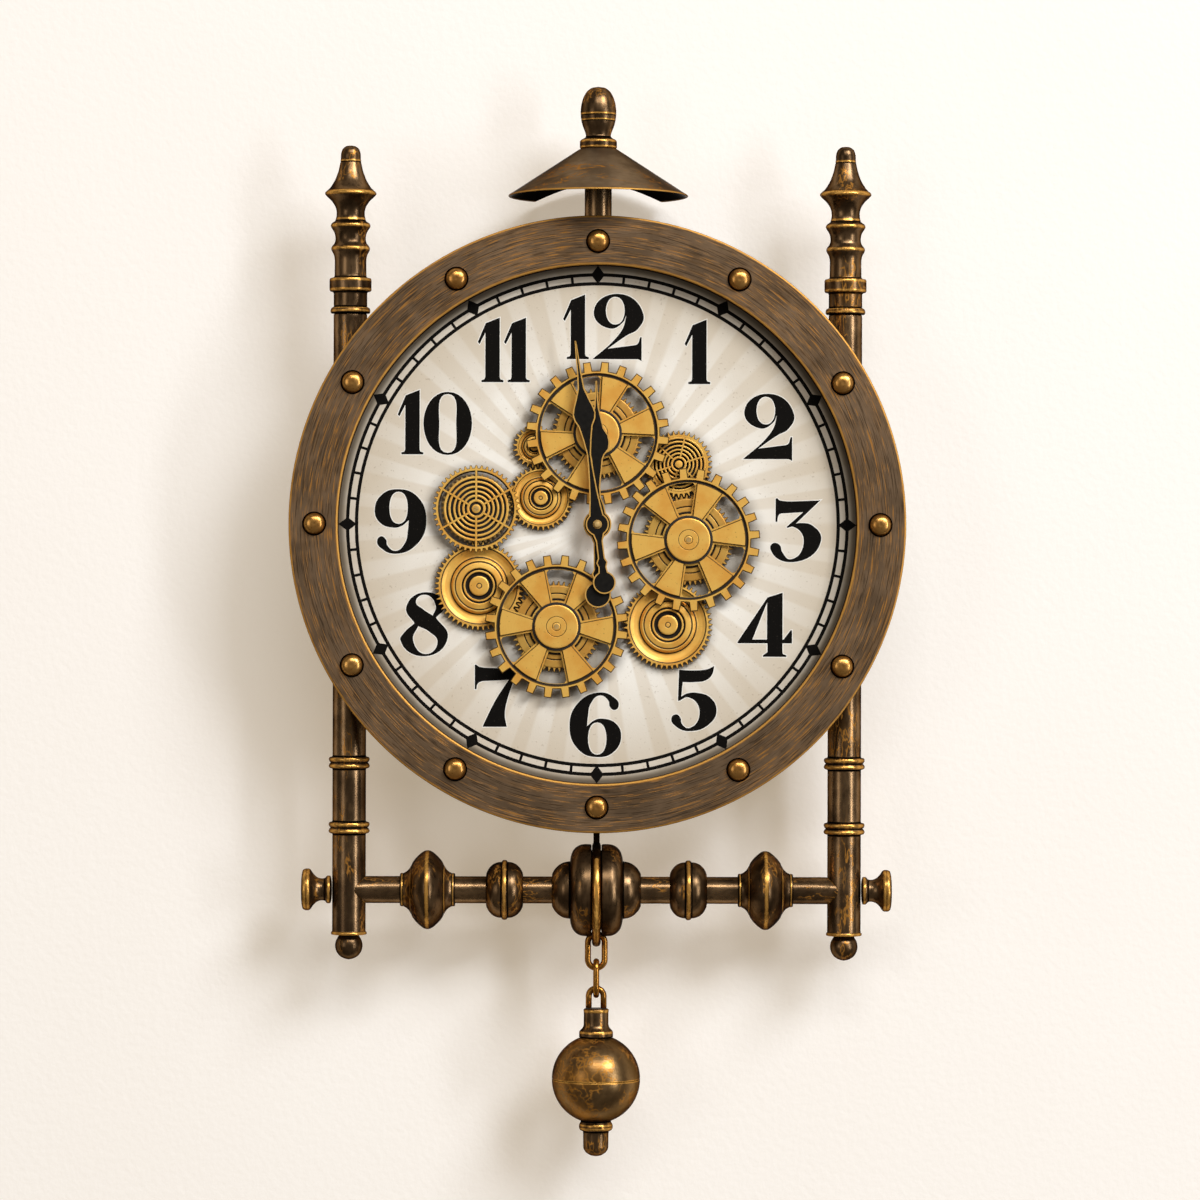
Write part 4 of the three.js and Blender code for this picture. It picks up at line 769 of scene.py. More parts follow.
def ring_pair(middle):
    """Two rounded rings on a column with a dark groove between them."""
    return [
        (COLUMN, middle - 5.4, -1), (17.6, middle - 4.8), (18.4, middle - 2.9, 1.3), (17.4, middle - 0.8),
        (16.4, middle, -0.6), (17.4, middle + 0.8), (18.4, middle + 2.9, 1.3), (17.6, middle + 4.8),
        (COLUMN, middle + 5.4, -1),
    ]


for side, sign in SIDES.items():
    bm = turned(
        [
            (0, COLUMN_BOTTOM), (COLUMN + 1, COLUMN_BOTTOM, 1), (COLUMN + 1, COLUMN_BOTTOM + 2.2, 0.8),
            (COLUMN, COLUMN_BOTTOM + 3), *ring_pair(LOWER_RINGS), *ring_pair(UPPER_RINGS),
            (COLUMN, COLUMN_TOP), (0, COLUMN_TOP),
        ],
        upright(sign * COLUMN_SPREAD), rounding=0.9,
    )
    settle(bm, side + "_tube", "frame", [upright_bronze], [side + "_column"])

# Column finials and feet: solid castings turned to rings and hollows, with a round-topped cap,
# each plugged into an end of a column.
cast_bronze = bronze(
    "cast_bronze", srgb(86, 68, 50), srgb(156, 128, 97), (420, 420, 130), scratches=0.45, gloss=0.3
)
FINIAL_PROFILE = [
    (0, 178), (13.3, 178), (13.3, 187.3), (17.2, 187.5, -0.8), (17.8, 189.6, 1), (17.2, 192.4, 0.6),
    (COLUMN, 193.4, -0.8), (COLUMN, 206.6, -0.8), (18.2, 207.2), (18.7, 208.6, 1), (18.7, 217.4, 1),
    (18.2, 218.8), (14.2, 219.6, -0.8), (14, 236), (14.9, 240), (16.9, 243.4), (17.35, 245.4, 1.2),
    (16.4, 247.4), (14, 250.4), (13.35, 254.3), (14.2, 259.5), (17, 263.6), (17.8, 265.6, 1.2),
    (17, 267.6), (13.6, 270, -0.6), (13.2, 271.6, 0.8), (12.6, 274), (12.45, 278.4), (13.6, 282.6),
    (16.6, 287.4), (21.4, 291.8), (23.1, 293.9, 1.2), (22.4, 295.6, 1.2), (18.4, 299), (14, 306),
    (11, 314), (9.4, 321.4), (9.1, 322.4, -0.5), (9.2, 323.4, 0.9), (8.9, 325), (8.8, 330),
    (7.4, 334), (4.4, 336.5), (0, 337.1),
]
FOOT_PROFILE = [
    (0, -387.1), (4.8, -386.1), (8.8, -383.4), (11.5, -379.4), (12.45, -374.6), (11.5, -369.8),
    (9.4, -366.6), (9, -365.1, -1), (9, -356), (0, -356),
]


def cast(name, replaced, profile, place, body="frame", **turning):
    """A turned casting in place of a node."""
    settle(turned(profile, place, **turning), name, body, [cast_bronze], [replaced])


for side, sign in SIDES.items():
    at = upright(sign * COLUMN_SPREAD)
    cast(side + "_finial", side + "_column_finial", FINIAL_PROFILE, at, rounding=2)
    cast(side + "_ball_foot", side + "_foot_ball", FOOT_PROFILE, at, rounding=3)

# Crossbar: a tube between the columns, its ends cut to sit against them and flared to the front,
# where they are brazed on.
CROSSBAR_DROP = -324.8
CROSSBAR = 12
FLARE = 2
FLARE_START = COLUMN_SPREAD - 30
FLARE_LENGTH = 18
ACROSS = Matrix.Translation((0, -AXIS_DEPTH, CROSSBAR_DROP)) @ Matrix.Rotation(math.pi / 2, 4, "Y")

across_bronze = bronze("across_bronze", BRONZE_DARK, BRONZE_BROWN, (180, 420, 420), scratches=0.5)
bm = turned(
    [
        (CROSSBAR, -COLUMN_SPREAD), (CROSSBAR, COLUMN_SPREAD), (CROSSBAR - SHEET, COLUMN_SPREAD),
        (CROSSBAR - SHEET, -COLUMN_SPREAD),
    ],
    ACROSS, steps=48, rounding=0.1, closed=True, row=1,
)
rub_and_shade = bm.verts.layers.float["rub_and_shade"]
for vert in bm.verts:
    flare = min(1, max(0, (abs(vert.co.x) - FLARE_START) / FLARE_LENGTH))
    forward = max(0, -AXIS_DEPTH - vert.co.y) / CROSSBAR
    vert.co.y -= FLARE * flare**2 * forward
    saddle = COLUMN_SPREAD - math.sqrt((COLUMN + GAP) ** 2 - (vert.co.y + AXIS_DEPTH) ** 2)
    if abs(vert.co.x) > saddle:
        vert.co.x = math.copysign(saddle, vert.co.x)
        vert[rub_and_shade] = 1
bmesh.ops.remove_doubles(bm, verts=bm.verts, dist=0.001)
settle(bm, "crossbar_tube", "frame", [across_bronze], ["crossbar_rod"])

# Beads: turned castings threaded on the crossbar, with the same profile on both sides of their
# middle. The round ones have a ring round them, the discs a bright ridge, the centre one a groove.
BORE = 12.3
ROUND_PLACE = 81.7
DISC_PLACE = 150.2
ROUND_HALF = [
    (26.7, 0, 1.2), (26.4, 1.8), (25, 2.7, -0.8), (24.9, 3.6), (24.6, 6.4), (22.8, 10.6), (19.4, 14),
    (15.4, 16.1), (13.5, 16.5, -0.8),
]
DISC_HALF = [
    (35.2, 0, 1.3), (34.8, 2.4), (33.6, 4.6), (31.2, 7.6), (27.8, 11), (24.2, 13.6), (22.2, 14.3, -0.6),
    (21.3, 14.9, 0.9), (18.6, 16.4), (16.2, 18.8), (14.9, 21.4), (14.6, 21.8, -0.6), (14.9, 22.3, 0.8),
    (14.6, 24.5, -0.8),
]
CENTRE_HALF = [
    (34.6, 0), (34.6, 4.4, -1), (40.3, 4.5), (40.9, 5.4), (41, 10), (40.5, 14), (38.6, 18), (34.8, 21.4),
    (29.4, 23.2), (25.6, 23.6, -0.9), (25.4, 25.4), (24.6, 29.6), (22, 34), (18.2, 37.6), (14.4, 39.5),
    (13.5, 39.5, -0.8),
]


def bead(half):
    """The whole outline of a bead from one half, from its middle to one end, with its bore."""
    other = [(radius, -x, *wear_and_shade) for radius, x, *wear_and_shade in half[:0:-1]]
    end = half[-1][1]
    return [*other, *half, (BORE, end), (BORE, -end)]


for side, sign in SIDES.items():
    for kind, half, place in (("round", ROUND_HALF, ROUND_PLACE), ("disc", DISC_HALF, DISC_PLACE)):
        at = Matrix.Translation((sign * place, 0, 0)) @ ACROSS
        name = f"{side}_{kind}"
        cast(name + "_turning", name + "_bead", bead(half), at, rounding=1.6, closed=True)
cast("centre_turning", "centre_bead", bead(CENTRE_HALF), ACROSS, steps=80, rounding=2, closed=True)

# End knobs: small turned castings of the same bronze as the beads, screwed into the columns at both
# ends of the crossbar.
KNOB_SEAT = COLUMN_SPREAD + COLUMN + GAP
KNOB_PROFILE = [
    (0, 0), (8.4, 0.2), (12.2, 1.2), (12.4, 2.6, 0.9), (12.2, 4.4), (10, 6.2, -0.6), (9.7, 8.4),
    (10, 11), (11.4, 14), (14.6, 17), (17.6, 18.8), (18.6, 20.4, 1.2), (18.6, 23.8, 1.2),
    (17.4, 25.8), (14, 26.7), (0, 26.9),
]
outward = [(radius, KNOB_SEAT + height, *wear_and_shade) for radius, height, *wear_and_shade in KNOB_PROFILE]
for side, sign in SIDES.items():
    turn = ACROSS if sign > 0 else ACROSS @ Matrix.Rotation(math.pi, 4, "X")
    cast(side + "_knob", side + "_end_knob", outward, turn, rounding=1.8)

# Hoop: a round bar bent into a ring that lies in the centre bead's groove and carries the chain,
# brazed to a flat strap that is fixed behind the rim.
HOOP_RADIUS = 42.9
HOOP_BAR = 4.2
HOOP_DROP = -328.3
HOOP_SHADE = 0.8
STRAP = (5.6, 12)
STRAP_TOP = -235.3
SHADED = -0.6


def of_kind(geometry, kind):
    return [item for item in geometry if isinstance(item, kind)]


hoop_bronze = bronze("hoop_bronze", srgb(96, 66, 34), srgb(176, 124, 62), (400, 400, 70), scratches=0.6)
bm = turned(
    [
        (HOOP_RADIUS + HOOP_BAR, 0, 1.7), (HOOP_RADIUS + 3, 3), (HOOP_RADIUS, HOOP_BAR),
        (HOOP_RADIUS - 3, 3), (HOOP_RADIUS - HOOP_BAR, 0), (HOOP_RADIUS - 3, -3),
        (HOOP_RADIUS, -HOOP_BAR), (HOOP_RADIUS + 3, -3),
    ],
    Matrix.Translation((0, 0, HOOP_DROP - CROSSBAR_DROP)) @ ACROSS, steps=96, rounding=1.4, closed=True,
)
bottom = HOOP_DROP + HOOP_RADIUS
rear, front = AXIS_DEPTH - STRAP[1] / 2, AXIS_DEPTH + STRAP[1] / 2
outline = [
    (rear, bottom), (rear, STRAP_TOP), (PLATE_BACK, STRAP_TOP), (PLATE_BACK, STRAP_TOP - 25),
    (front, STRAP_TOP - 37), (front, bottom),
]
strap = bm.faces.new([bm.verts.new((-STRAP[0] / 2, -depth, z)) for depth, z in outline])
grown = bmesh.ops.extrude_face_region(bm, geom=[strap])["geom"]
bmesh.ops.translate(bm, vec=(STRAP[0], 0, 0), verts=of_kind(grown, bmesh.types.BMVert))
rub_and_shade = bm.verts.layers.float["rub_and_shade"]
for vert in bm.verts:
    if vert.co.z > HOOP_DROP + HOOP_SHADE * HOOP_RADIUS:
        vert[rub_and_shade] = SHADED
bmesh.ops.recalc_face_normals(bm, faces=bm.faces)
settle(bm, "hoop", "frame", [hoop_bronze], ["crossbar_hanger"])

# Roof: a solid stem up the back of the dial, a spun sheet cone cut off flat behind, its underside
# painted near black as shade, and an egg finial that holds the cone down on the stem.
ROOF_RADIUS = 79.9
ROOF_RIM = 292
ROOF_TOP = 334.4
ROOF_TO_WALL = 9
ROOF_FLAT = 16.5
STEM = 12
STEM_BOTTOM = 205
STEM_TOP = ROOF_TOP - SHEET - GAP
PIN = 6
PIN_TOP = ROOF_TOP + 10


def cut_flat(bm, place, away):
    """Cuts off what lies beyond a plane and closes the cut."""
    bmesh.ops.bisect_plane(
        bm, geom=bm.verts[:] + bm.edges[:] + bm.faces[:], dist=0.001, plane_co=place, plane_no=away,
        clear_outer=True,
    )
    bmesh.ops.holes_fill(bm, edges=[edge for edge in bm.edges if edge.is_boundary])


bm = turned(
    [
        (0, STEM_BOTTOM), (STEM, STEM_BOTTOM), (STEM, STEM_TOP), (PIN, STEM_TOP), (PIN, PIN_TOP),
        (0, PIN_TOP),
    ],
    upright(),
)
settle(bm, "stem", "frame", [upright_bronze], ["roof_stem"])

roof_bronze = bronze(
    "roof_bronze", srgb(142, 125, 106), srgb(188, 169, 146), (120, 400, 400), scratches=0.5, gilding=0.08,
    gloss=0.5,
)
roof_inside_painted_shade = bronze(
    "roof_inside_painted_shade", srgb(14, 11, 8), srgb(34, 26, 18), (90, 300, 500), scratches=-1, gloss=0.6
)
bm = turned(
    [
        (ROOF_RADIUS - SHEET, ROOF_RIM), (ROOF_RADIUS, ROOF_RIM, 1.4), (ROOF_RADIUS, ROOF_RIM + 1, 1),
        (ROOF_FLAT, ROOF_TOP), (PIN + GAP, ROOF_TOP), (PIN + GAP, ROOF_TOP - SHEET),
        (ROOF_FLAT, ROOF_TOP - SHEET),
    ],
    upright(), steps=128, rounding=0.4, closed=True,
)
cut_flat(bm, (0, -ROOF_TO_WALL, 0), (0, 1, 0))
bmesh.ops.recalc_face_normals(bm, faces=bm.faces)
shade(bm)
# Faces under the cone that look down get the near black inside finish: painted shade.
for face in bm.faces:
    looks_down = face.normal.z < -0.2
    face.material_index = int(looks_down and face.calc_center_median().z > ROOF_RIM + 0.5)
settle(bm, "roof_sheet", "frame", [roof_bronze, roof_inside_painted_shade], ["roof_cone"])

EGG_PROFILE = [
    (0, 344.7), (6.3, 344.7), (6.3, 334.7), (15.6, 334.7), (16.5, 335.6, 1), (16.5, 341.4, 1),
    (15.4, 342.6), (11.6, 344.6, -0.8), (11, 346.6), (12, 350), (14.2, 355.4), (15, 358.6),
    (15, 359.2, -0.5), (15.3, 359.9, 0.8), (15.8, 363.8), (15.7, 364.4, -0.5), (15.9, 365.2, 0.8),
    (15.9, 369), (15.2, 374.6), (13.6, 380.2), (10.8, 385.4), (6.6, 388.8), (0, 389.9),
]
cast("roof_egg", "roof_finial", EGG_PROFILE, upright(), rounding=2)

# Behind the dial: moulded black clamps that hold the columns and the stem, the quartz movement
# with its knob, and the gear motor. They keep their own shapes.
COPPER_FROM = 0.012

moulded, tree, surface, _ = grained("moulded_plastic", 60, srgb(20, 20, 21), srgb(36, 36, 38), 0.42, 0.25)
raise_relief(tree, surface, noise(tree, here(tree), 1400, 3), 0.00008)
dress(
    moulded, "left_upper_clamp", "right_upper_clamp", "left_lower_clamp", "right_lower_clamp",
    "stem_clamp", "movement_case", "gear_motor_case", "setting_knob",
)

label, tree, surface = finish("battery_sleeve")
where = here(tree)
along = put(tree, "ShaderNodeSeparateXYZ", {"Vector": where}).outputs["X"]
copper = calc(tree, "GREATER_THAN", along, COPPER_FROM)
fill(tree, surface, {
    "Base Color": blend(tree, copper, srgb(38, 40, 44), srgb(176, 112, 58)),
    "Roughness": calc(tree, "MULTIPLY_ADD", noise(tree, where, 200), 0.2, 0.3),
})
dress(label, "movement_battery")

# Gears: flat wheels stamped from brass sheet, satin yellow, on two levels in front of the dial.
# The fine gears lie against the dial and mesh, and the large wheels stand in front of them.
FINE_BACK = 85
FINE_FRONT = 89
WHEEL_BACK = 91
WHEEL_FRONT = 95
FINE_MODULE = 1.5
FINE_ADDENDUM = 1.3
FINE_DEDENDUM = 2
FINE_CHAMFER = 0.4
FINE_TOOTH = (0.2, 0.6)
TIP = 63.3
TIP_OVERLAP = 2.9
PITCH_WHEEL = 2 * TIP - TIP_OVERLAP

# Satin brass: yellow with a darker bloom, faint marks round the axle and small dark pits. It is darker
# with tarnish, and on the edge finish with painted shade, and dark in grooves with dirt and painted
# shade.
satin_brass, given, result = effect(
    "satin_brass",
    {"Place": "Vector", "Rub_and_Shade": "Float", "Tarnish_and_Shade": "Float"},
    {"Color": "Color", "Roughness": "Float", "Relief": "Float"},
)
tree = satin_brass
sockets = {"Place": given["Place"], "Around": 5, "Outward": 0.9}
axle = put(tree, "ShaderNodeGroup", sockets, node_tree=round_axle).outputs
lathe_marks = noise(tree, axle["Streak"], 1.3, 3)
bloom = between(tree, noise(tree, given["Place"], 60, 4), 0.35, 0.7)
yellow = blend(tree, bloom, srgb(255, 203, 100), srgb(246, 180, 78))
yellow = stained(tree, yellow, lathe_marks, 0.18, srgb(190, 132, 50))
pits = between(tree, noise(tree, given["Place"], 520, 2), 0.68, 0.74)
yellow = stained(tree, yellow, pits, 0.5, srgb(120, 78, 30))
# Tarnish darkens the yellow; on the edge finish this is painted shade, an outline round each sheet.
yellow = blend(tree, given["Tarnish_and_Shade"], yellow, srgb(60, 38, 15))
# Below zero the rub paints dirt and shade dark in grooves.
yellow = blend(tree, between(tree, given["Rub_and_Shade"], -0.1, -0.7), yellow, srgb(26, 17, 8))
satin = calc(tree, "MULTIPLY_ADD", lathe_marks, 0.18, 0.34)
fill(tree, result, {"Color": yellow, "Roughness": satin, "Relief": lathe_marks})


def brass_finish(name, tarnish_and_shade):
    made, tree, surface = finish(name, metallic=0.45)
    place = put(tree, "ShaderNodeAttribute", attribute_name="from_axle").outputs["Vector"]
    rub_and_shade = put(tree, "ShaderNodeAttribute", attribute_name="rub_and_shade").outputs["Fac"]
    sockets = {"Place": place, "Rub_and_Shade": rub_and_shade, "Tarnish_and_Shade": tarnish_and_shade}
    aged = put(tree, "ShaderNodeGroup", sockets, node_tree=satin_brass).outputs
    fill(tree, surface, {"Base Color": aged["Color"], "Roughness": aged["Roughness"]})
    raise_relief(tree, surface, aged["Relief"], 0.00006)
    return made


gear_brass = brass_finish("gear_brass", 0.0)
old_brass = brass_finish("old_brass", 0.3)
# The sides and eased edges of each sheet: a dark painted shade that outlines it.
edge_brass_painted_shade = brass_finish("edge_brass_painted_shade", 0.9)
# Black for gaps, grooves, slots and the sides of rings and bars: painted shade.
recess_shade, *_ = grained("painted_recess_shade", 500, srgb(14, 11, 8), srgb(40, 30, 18), 0.7)
GEAR_FINISHES = [gear_brass, old_brass, recess_shade, edge_brass_painted_shade]
BRASS, OLD, RECESS_SHADE, EDGE_SHADE = range(4)


def polar(radius, angle):
    return (radius * math.cos(angle), 0, radius * math.sin(angle))


def repeat(bm, corners, count, closed):
    """A wire through corners of radius and angle, repeated round the axle and welded."""
    wire = [bm.verts.new(polar(*corner)) for corner in corners]
    edges = join(bm, wire, closed)
    bmesh.ops.spin(
        bm, geom=wire + edges, cent=(0, 0, 0), axis=(0, -1, 0), angle=2 * math.pi * (count - 1) / count,
        steps=count - 1, use_duplicate=True,
    )


def toothed(bm, count, tip, root, tip_share, foot_share):
    """The outline of a toothed rim, with the middle of one tooth at angle 0."""
    pitch = 2 * math.pi / count
    half_tip = tip_share * pitch / 2
    half_foot = foot_share * pitch / 2
    tooth = [(root, -half_foot), (tip, -half_tip), (tip, half_tip), (root, half_foot)]
    repeat(bm, tooth + [(root, pitch - half_foot)], count, closed=False)


def ring_wire(bm, radius, sides=96):
    bmesh.ops.create_circle(bm, segments=sides, radius=radius, matrix=FACING)


def paint(faces, finish_index):
    for face in faces:
        face.material_index = finish_index


def thicken(bm, thickness):
    """Fills the wires of a flat sheet and gives it a thickness. Its front faces come back."""
    bmesh.ops.triangle_fill(bm, edges=bm.edges[:], use_beauty=True, normal=(0, -1, 0))
    grown = bmesh.ops.extrude_face_region(bm, geom=bm.faces[:])["geom"]
    bmesh.ops.translate(bm, vec=(0, -thickness, 0), verts=of_kind(grown, bmesh.types.BMVert))
    return of_kind(grown, bmesh.types.BMFace)


def press(bm, back, front, chamfer, finish_index):
    """Makes a sheet from its wires and eases its front edges. Its sides and eased edges get the dark
    edge finish, painted shade, and its front the given finish.
    """
    bmesh.ops.remove_doubles(bm, verts=bm.verts, dist=0.01)
    bm.verts.layers.float.new("rub_and_shade")
    faces = thicken(bm, front - back - chamfer)
    bmesh.ops.inset_region(
        bm, faces=faces, thickness=chamfer, depth=chamfer, use_even_offset=True, use_boundary=True
    )
    bmesh.ops.translate(bm, vec=(0, -back, 0), verts=bm.verts)
    bmesh.ops.recalc_face_normals(bm, faces=bm.faces)
    paint(bm.faces, EDGE_SHADE)
    paint(faces, finish_index)


def lay(bm, part, finish_index=None):
    """Adds one mesh to another, with all its faces in one finish where that is given."""
    if finish_index is not None:
        paint(part.faces, finish_index)
    carried = bpy.data.meshes.new("carried")
    part.to_mesh(carried)
    part.free()
    bm.from_mesh(carried)
    bpy.data.meshes.remove(carried)


def stamped(draw, back, front, chamfer, finish_index):
    """A sheet from a function that draws its wires."""
    part = bmesh.new()
    draw(part)
    press(part, back, front, chamfer, finish_index)
    return part


def disc(profile, steps=96, rounding=0.3):
    """A turned disc about the axle, from radius and depth."""
    return turned(profile, FACING, steps=steps, rounding=rounding)


def mount(bm, name, body, replaced, place, turn=None):
    """Puts a gear drawn about the origin on its axle, turned as seen from the front. Each point
    keeps its place from the axle, in metres, for the marks of turning."""
    shade(bm)
    from_axle = bm.verts.layers.float_vector.new("from_axle")
    for vert in bm.verts:
        vert[from_axle] = vert.co / 1000
    x, z, own_turn = place
    spin = Matrix.Rotation(-(own_turn if turn is None else turn), 4, "Y")
    bmesh.ops.transform(bm, matrix=Matrix.Translation((x, 0, z)) @ spin, verts=bm.verts)
    settle(bm, name, body, GEAR_FINISHES, [replaced])


def pitch_radius(count):
    return FINE_MODULE * count / 2


def meshed(driver, driver_teeth, teeth, distance, bearing):
    """Where a gear sits, and its turn with its teeth in the gaps of the gear that drives it."""
    x, z, driver_turn = driver
    along = math.radians(bearing)
    offset = driver_teeth * (along - driver_turn) / (2 * math.pi)
    turn = along + math.pi - 2 * math.pi / teeth * (0.5 - offset)
    return (x + distance * math.cos(along), z + distance * math.sin(along), turn)


def meshed_fine(driver, driver_teeth, teeth, bearing):
    reach = pitch_radius(driver_teeth) + pitch_radius(teeth)
    return meshed(driver, driver_teeth, teeth, reach, bearing)


PINION = 52
DISH = 51
SMALL_DISH = 37
IDLER = 24
RING_PINION = 40
RIGHT_RING = 38
WHEEL = 24
TOP_AXLE = 80.5
TOP_TURN = math.radians(9)
top_place = (0, TOP_AXLE, TOP_TURN)
right_place = meshed(top_place, WHEEL, WHEEL, PITCH_WHEEL, -49.4)
idler_place = meshed_fine(top_place, PINION, IDLER, 191.8)
small_place = meshed_fine(idler_place, IDLER, SMALL_DISH, -82.9)
left_ring_place = meshed_fine(small_place, SMALL_DISH, RING_PINION, 189.7)
left_dish_place = meshed_fine(left_ring_place, RING_PINION, DISH, -87.7)
bottom_place = meshed_fine(left_dish_place, DISH, PINION, -27.6)
right_ring_place = meshed_fine(right_place, PINION, RIGHT_RING, 97.4)
right_dish_place = meshed_fine(right_place, PINION, DISH, -103.4)

# Large wheels: square teeth on a thin rim, six tapered spokes laid on a pierced plate, a groove inside
# the rim and round the hub cap painted black as shade. Behind each is a fine pinion with turned bands.
ROOT = 55.3
WHEEL_TOOTH = (0.41, 0.54)
WHEEL_CHAMFER = 0.8
RIM_IN = 52.4
SPOKE_OUT = 50.8
SPOKE_IN = 19
SPOKE_BACK = 92.6
SPOKE_FRONT = 94.8
SPOKE_TAPER = 0.9
BACK_PLATE_FRONT = 93
SPOKES = 6
SPOKE_ANGLE = math.radians(28)
SPOKE_LEAD = math.radians(3)
HUB = 19.2
HOLE_BORDER = 1.2
HOLE_ROUNDING = 2.2
BOTTOM_TURN = math.radians(52.9)


def fine_gear(count, inner, finish_index):
    bm = bmesh.new()
    pitch = pitch_radius(count)
    toothed(bm, count, pitch + FINE_ADDENDUM, pitch - FINE_DEDENDUM, *FINE_TOOTH)
    ring_wire(bm, inner)
    press(bm, FINE_BACK, FINE_FRONT, FINE_CHAMFER, finish_index)
    return bm


def draw_wheel_rim(bm):
    toothed(bm, WHEEL, TIP, ROOT, *WHEEL_TOOTH)
    ring_wire(bm, RIM_IN, 120)


def draw_spokes(bm):
    half = SPOKE_ANGLE / 2
    fan = [(SPOKE_OUT, SPOKE_LEAD + half * step / 3) for step in range(-3, 4)]
    foot = [(SPOKE_IN, SPOKE_LEAD + half * SPOKE_TAPER * side) for side in (1, -1)]
    repeat(bm, fan + foot, SPOKES, closed=True)


def draw_back_plate(bm):
    ring_wire(bm, ROOT - 1)
    half = math.radians(360 / SPOKES) / 2 - SPOKE_ANGLE / 2
    middle = SPOKE_LEAD + math.pi / SPOKES
    outer, inner = SPOKE_OUT - 0.4, HUB + 4
    wide = half - HOLE_BORDER / outer
    narrow = half - HOLE_BORDER / inner
    cut = wide - HOLE_ROUNDING / outer
    hole = [(outer - HOLE_ROUNDING, middle - wide)]
    hole += [(outer, middle + cut * step / 3) for step in range(-3, 4)]
    hole += [(outer - HOLE_ROUNDING, middle + wide)]
    hole += [(inner, middle + narrow * step / 2) for step in range(2, -3, -1)]
    repeat(bm, hole, SPOKES, closed=True)


HUB_PROFILE = [
    (0, 92), (HUB, 92), (HUB, 96.8), (HUB - 0.9, 97.2), (9.2, 97.2), (8.9, 96.9, -0.3), (8.6, 97.2),
    (3.9, 97.2), (3.6, 96.9, -0.3), (3.3, 97.3), (0, 97.5),
]
HUB_SEAT_PROFILE = [(0, 92), (HUB + 2.3, 92), (HUB + 2.3, 95.2), (HUB + 1.5, 95.4), (0, 95.4)]
RIM_GROOVE_PROFILE = [(SPOKE_OUT, 92), (SPOKE_OUT, 93.2), (RIM_IN + 0.4, 93.2), (RIM_IN + 0.4, 92)]
PINION_PROFILE = [
    (0, 88), (36.4, 88, -0.8), (36.4, 89.4), (35.8, 89.7), (30, 89.9), (29.4, 89.2, -0.7), (28.8, 90),
    (24, 90.4, -1), (0, 90.4),
]
for side, place, spoke_turn in (
    ("top", top_place, None), ("right", right_place, None), ("bottom", bottom_place, BOTTOM_TURN),
):
    bm = stamped(draw_wheel_rim, WHEEL_BACK, WHEEL_FRONT, WHEEL_CHAMFER, BRASS)
    lay(bm, stamped(draw_spokes, SPOKE_BACK, SPOKE_FRONT, WHEEL_CHAMFER, BRASS))
    lay(bm, stamped(draw_back_plate, WHEEL_BACK, BACK_PLATE_FRONT, 0.1, BRASS))
    lay(bm, turned(RIM_GROOVE_PROFILE, FACING, steps=120, rounding=0.1, closed=True), RECESS_SHADE)
    lay(bm, disc(HUB_SEAT_PROFILE), RECESS_SHADE)
    lay(bm, disc(HUB_PROFILE), BRASS)
    mount(bm, side + "_big_wheel", side + "_wheel_set", side + "_wheel", place, spoke_turn)
    bm = fine_gear(PINION, 30, OLD)
    lay(bm, disc(PINION_PROFILE), OLD)
    mount(bm, side + "_fine_pinion", side + "_wheel_set", side + "_pinion", place)

# Dished gears: turned from thicker brass, with a hollow face, a raised ring and a groove round the hub
# painted dark as dirt and shade, on steel pins.
DISH_PROFILE = [
    (0, 85.2), (0.99, 85.2), (0.99, 88.6), (0.965, 89.1), (0.93, 88.9, -0.4), (0.84, 87), (0.74, 86.2),
    (0.69, 86.6, -0.7), (0.66, 88.2), (0.635, 89.4), (0.61, 89.6), (0.585, 89.1, -0.6), (0.56, 89.6),
    (0.45, 90.2), (0.435, 90), (0.42, 88.6, -0.6), (0.39, 88.4, -0.8), (0.38, 89.8), (0.34, 89.8),
    (0.33, 88.4, -1), (0.29, 88.2, -1.4), (0.25, 88.2, -1), (0.24, 89.8), (0.21, 90.2), (0.075, 90.2),
    (0.06, 89.9, -0.4), (0.045, 90.2), (0, 90.2),
]
for name, count, place in (
    ("left_dish", DISH, left_dish_place), ("right_dish", DISH, right_dish_place),
    ("small_dish", SMALL_DISH, small_place), ("idler", IDLER, idler_place),
):
    reach = pitch_radius(count) - FINE_DEDENDUM
    bm = fine_gear(count, reach - 2, BRASS)
    lay(bm, disc([(share * reach, depth, *dirt_and_shade) for share, depth, *dirt_and_shade in DISH_PROFILE]), BRASS)
    mount(bm, name + "_turning", name, name + "_gear", place)

# Ring gears: stamped rims with rings and six bars over a disc painted black as the shade in their slots,
# the sides of the rings and bars painted black as shade too. The left one has an open band inside its
# rim, and a plain brass pinion behind it that meshes with the dished gears.
LEFT_RING = 48
LEFT_TIP = 38.5
LEFT_TOOTH = 2.6
LEFT_RIM_IN = 33.4
LEFT_BACK = 90
LEFT_FRONT = 93
LEFT_TOOTH_SHARES = (0.28, 0.62)
RIGHT_RIM_IN = 23.8
RIGHT_SCALE = 0.84
RINGS = [(6.1, 8.4), (10.4, 12.4), (14.4, 16.3), (18.4, 20.4), (22.7, 24.8), (26.6, 28.8)]
BARS = 6
BAR = 2.1
BAR_START = 7


def lay_bright(bm, part, slope):
    """Adds a part that is brass where it faces the front and painted black as shade elsewhere."""
    for face in part.faces:
        face.material_index = BRASS if face.normal.y < -slope else RECESS_SHADE
    lay(bm, part)


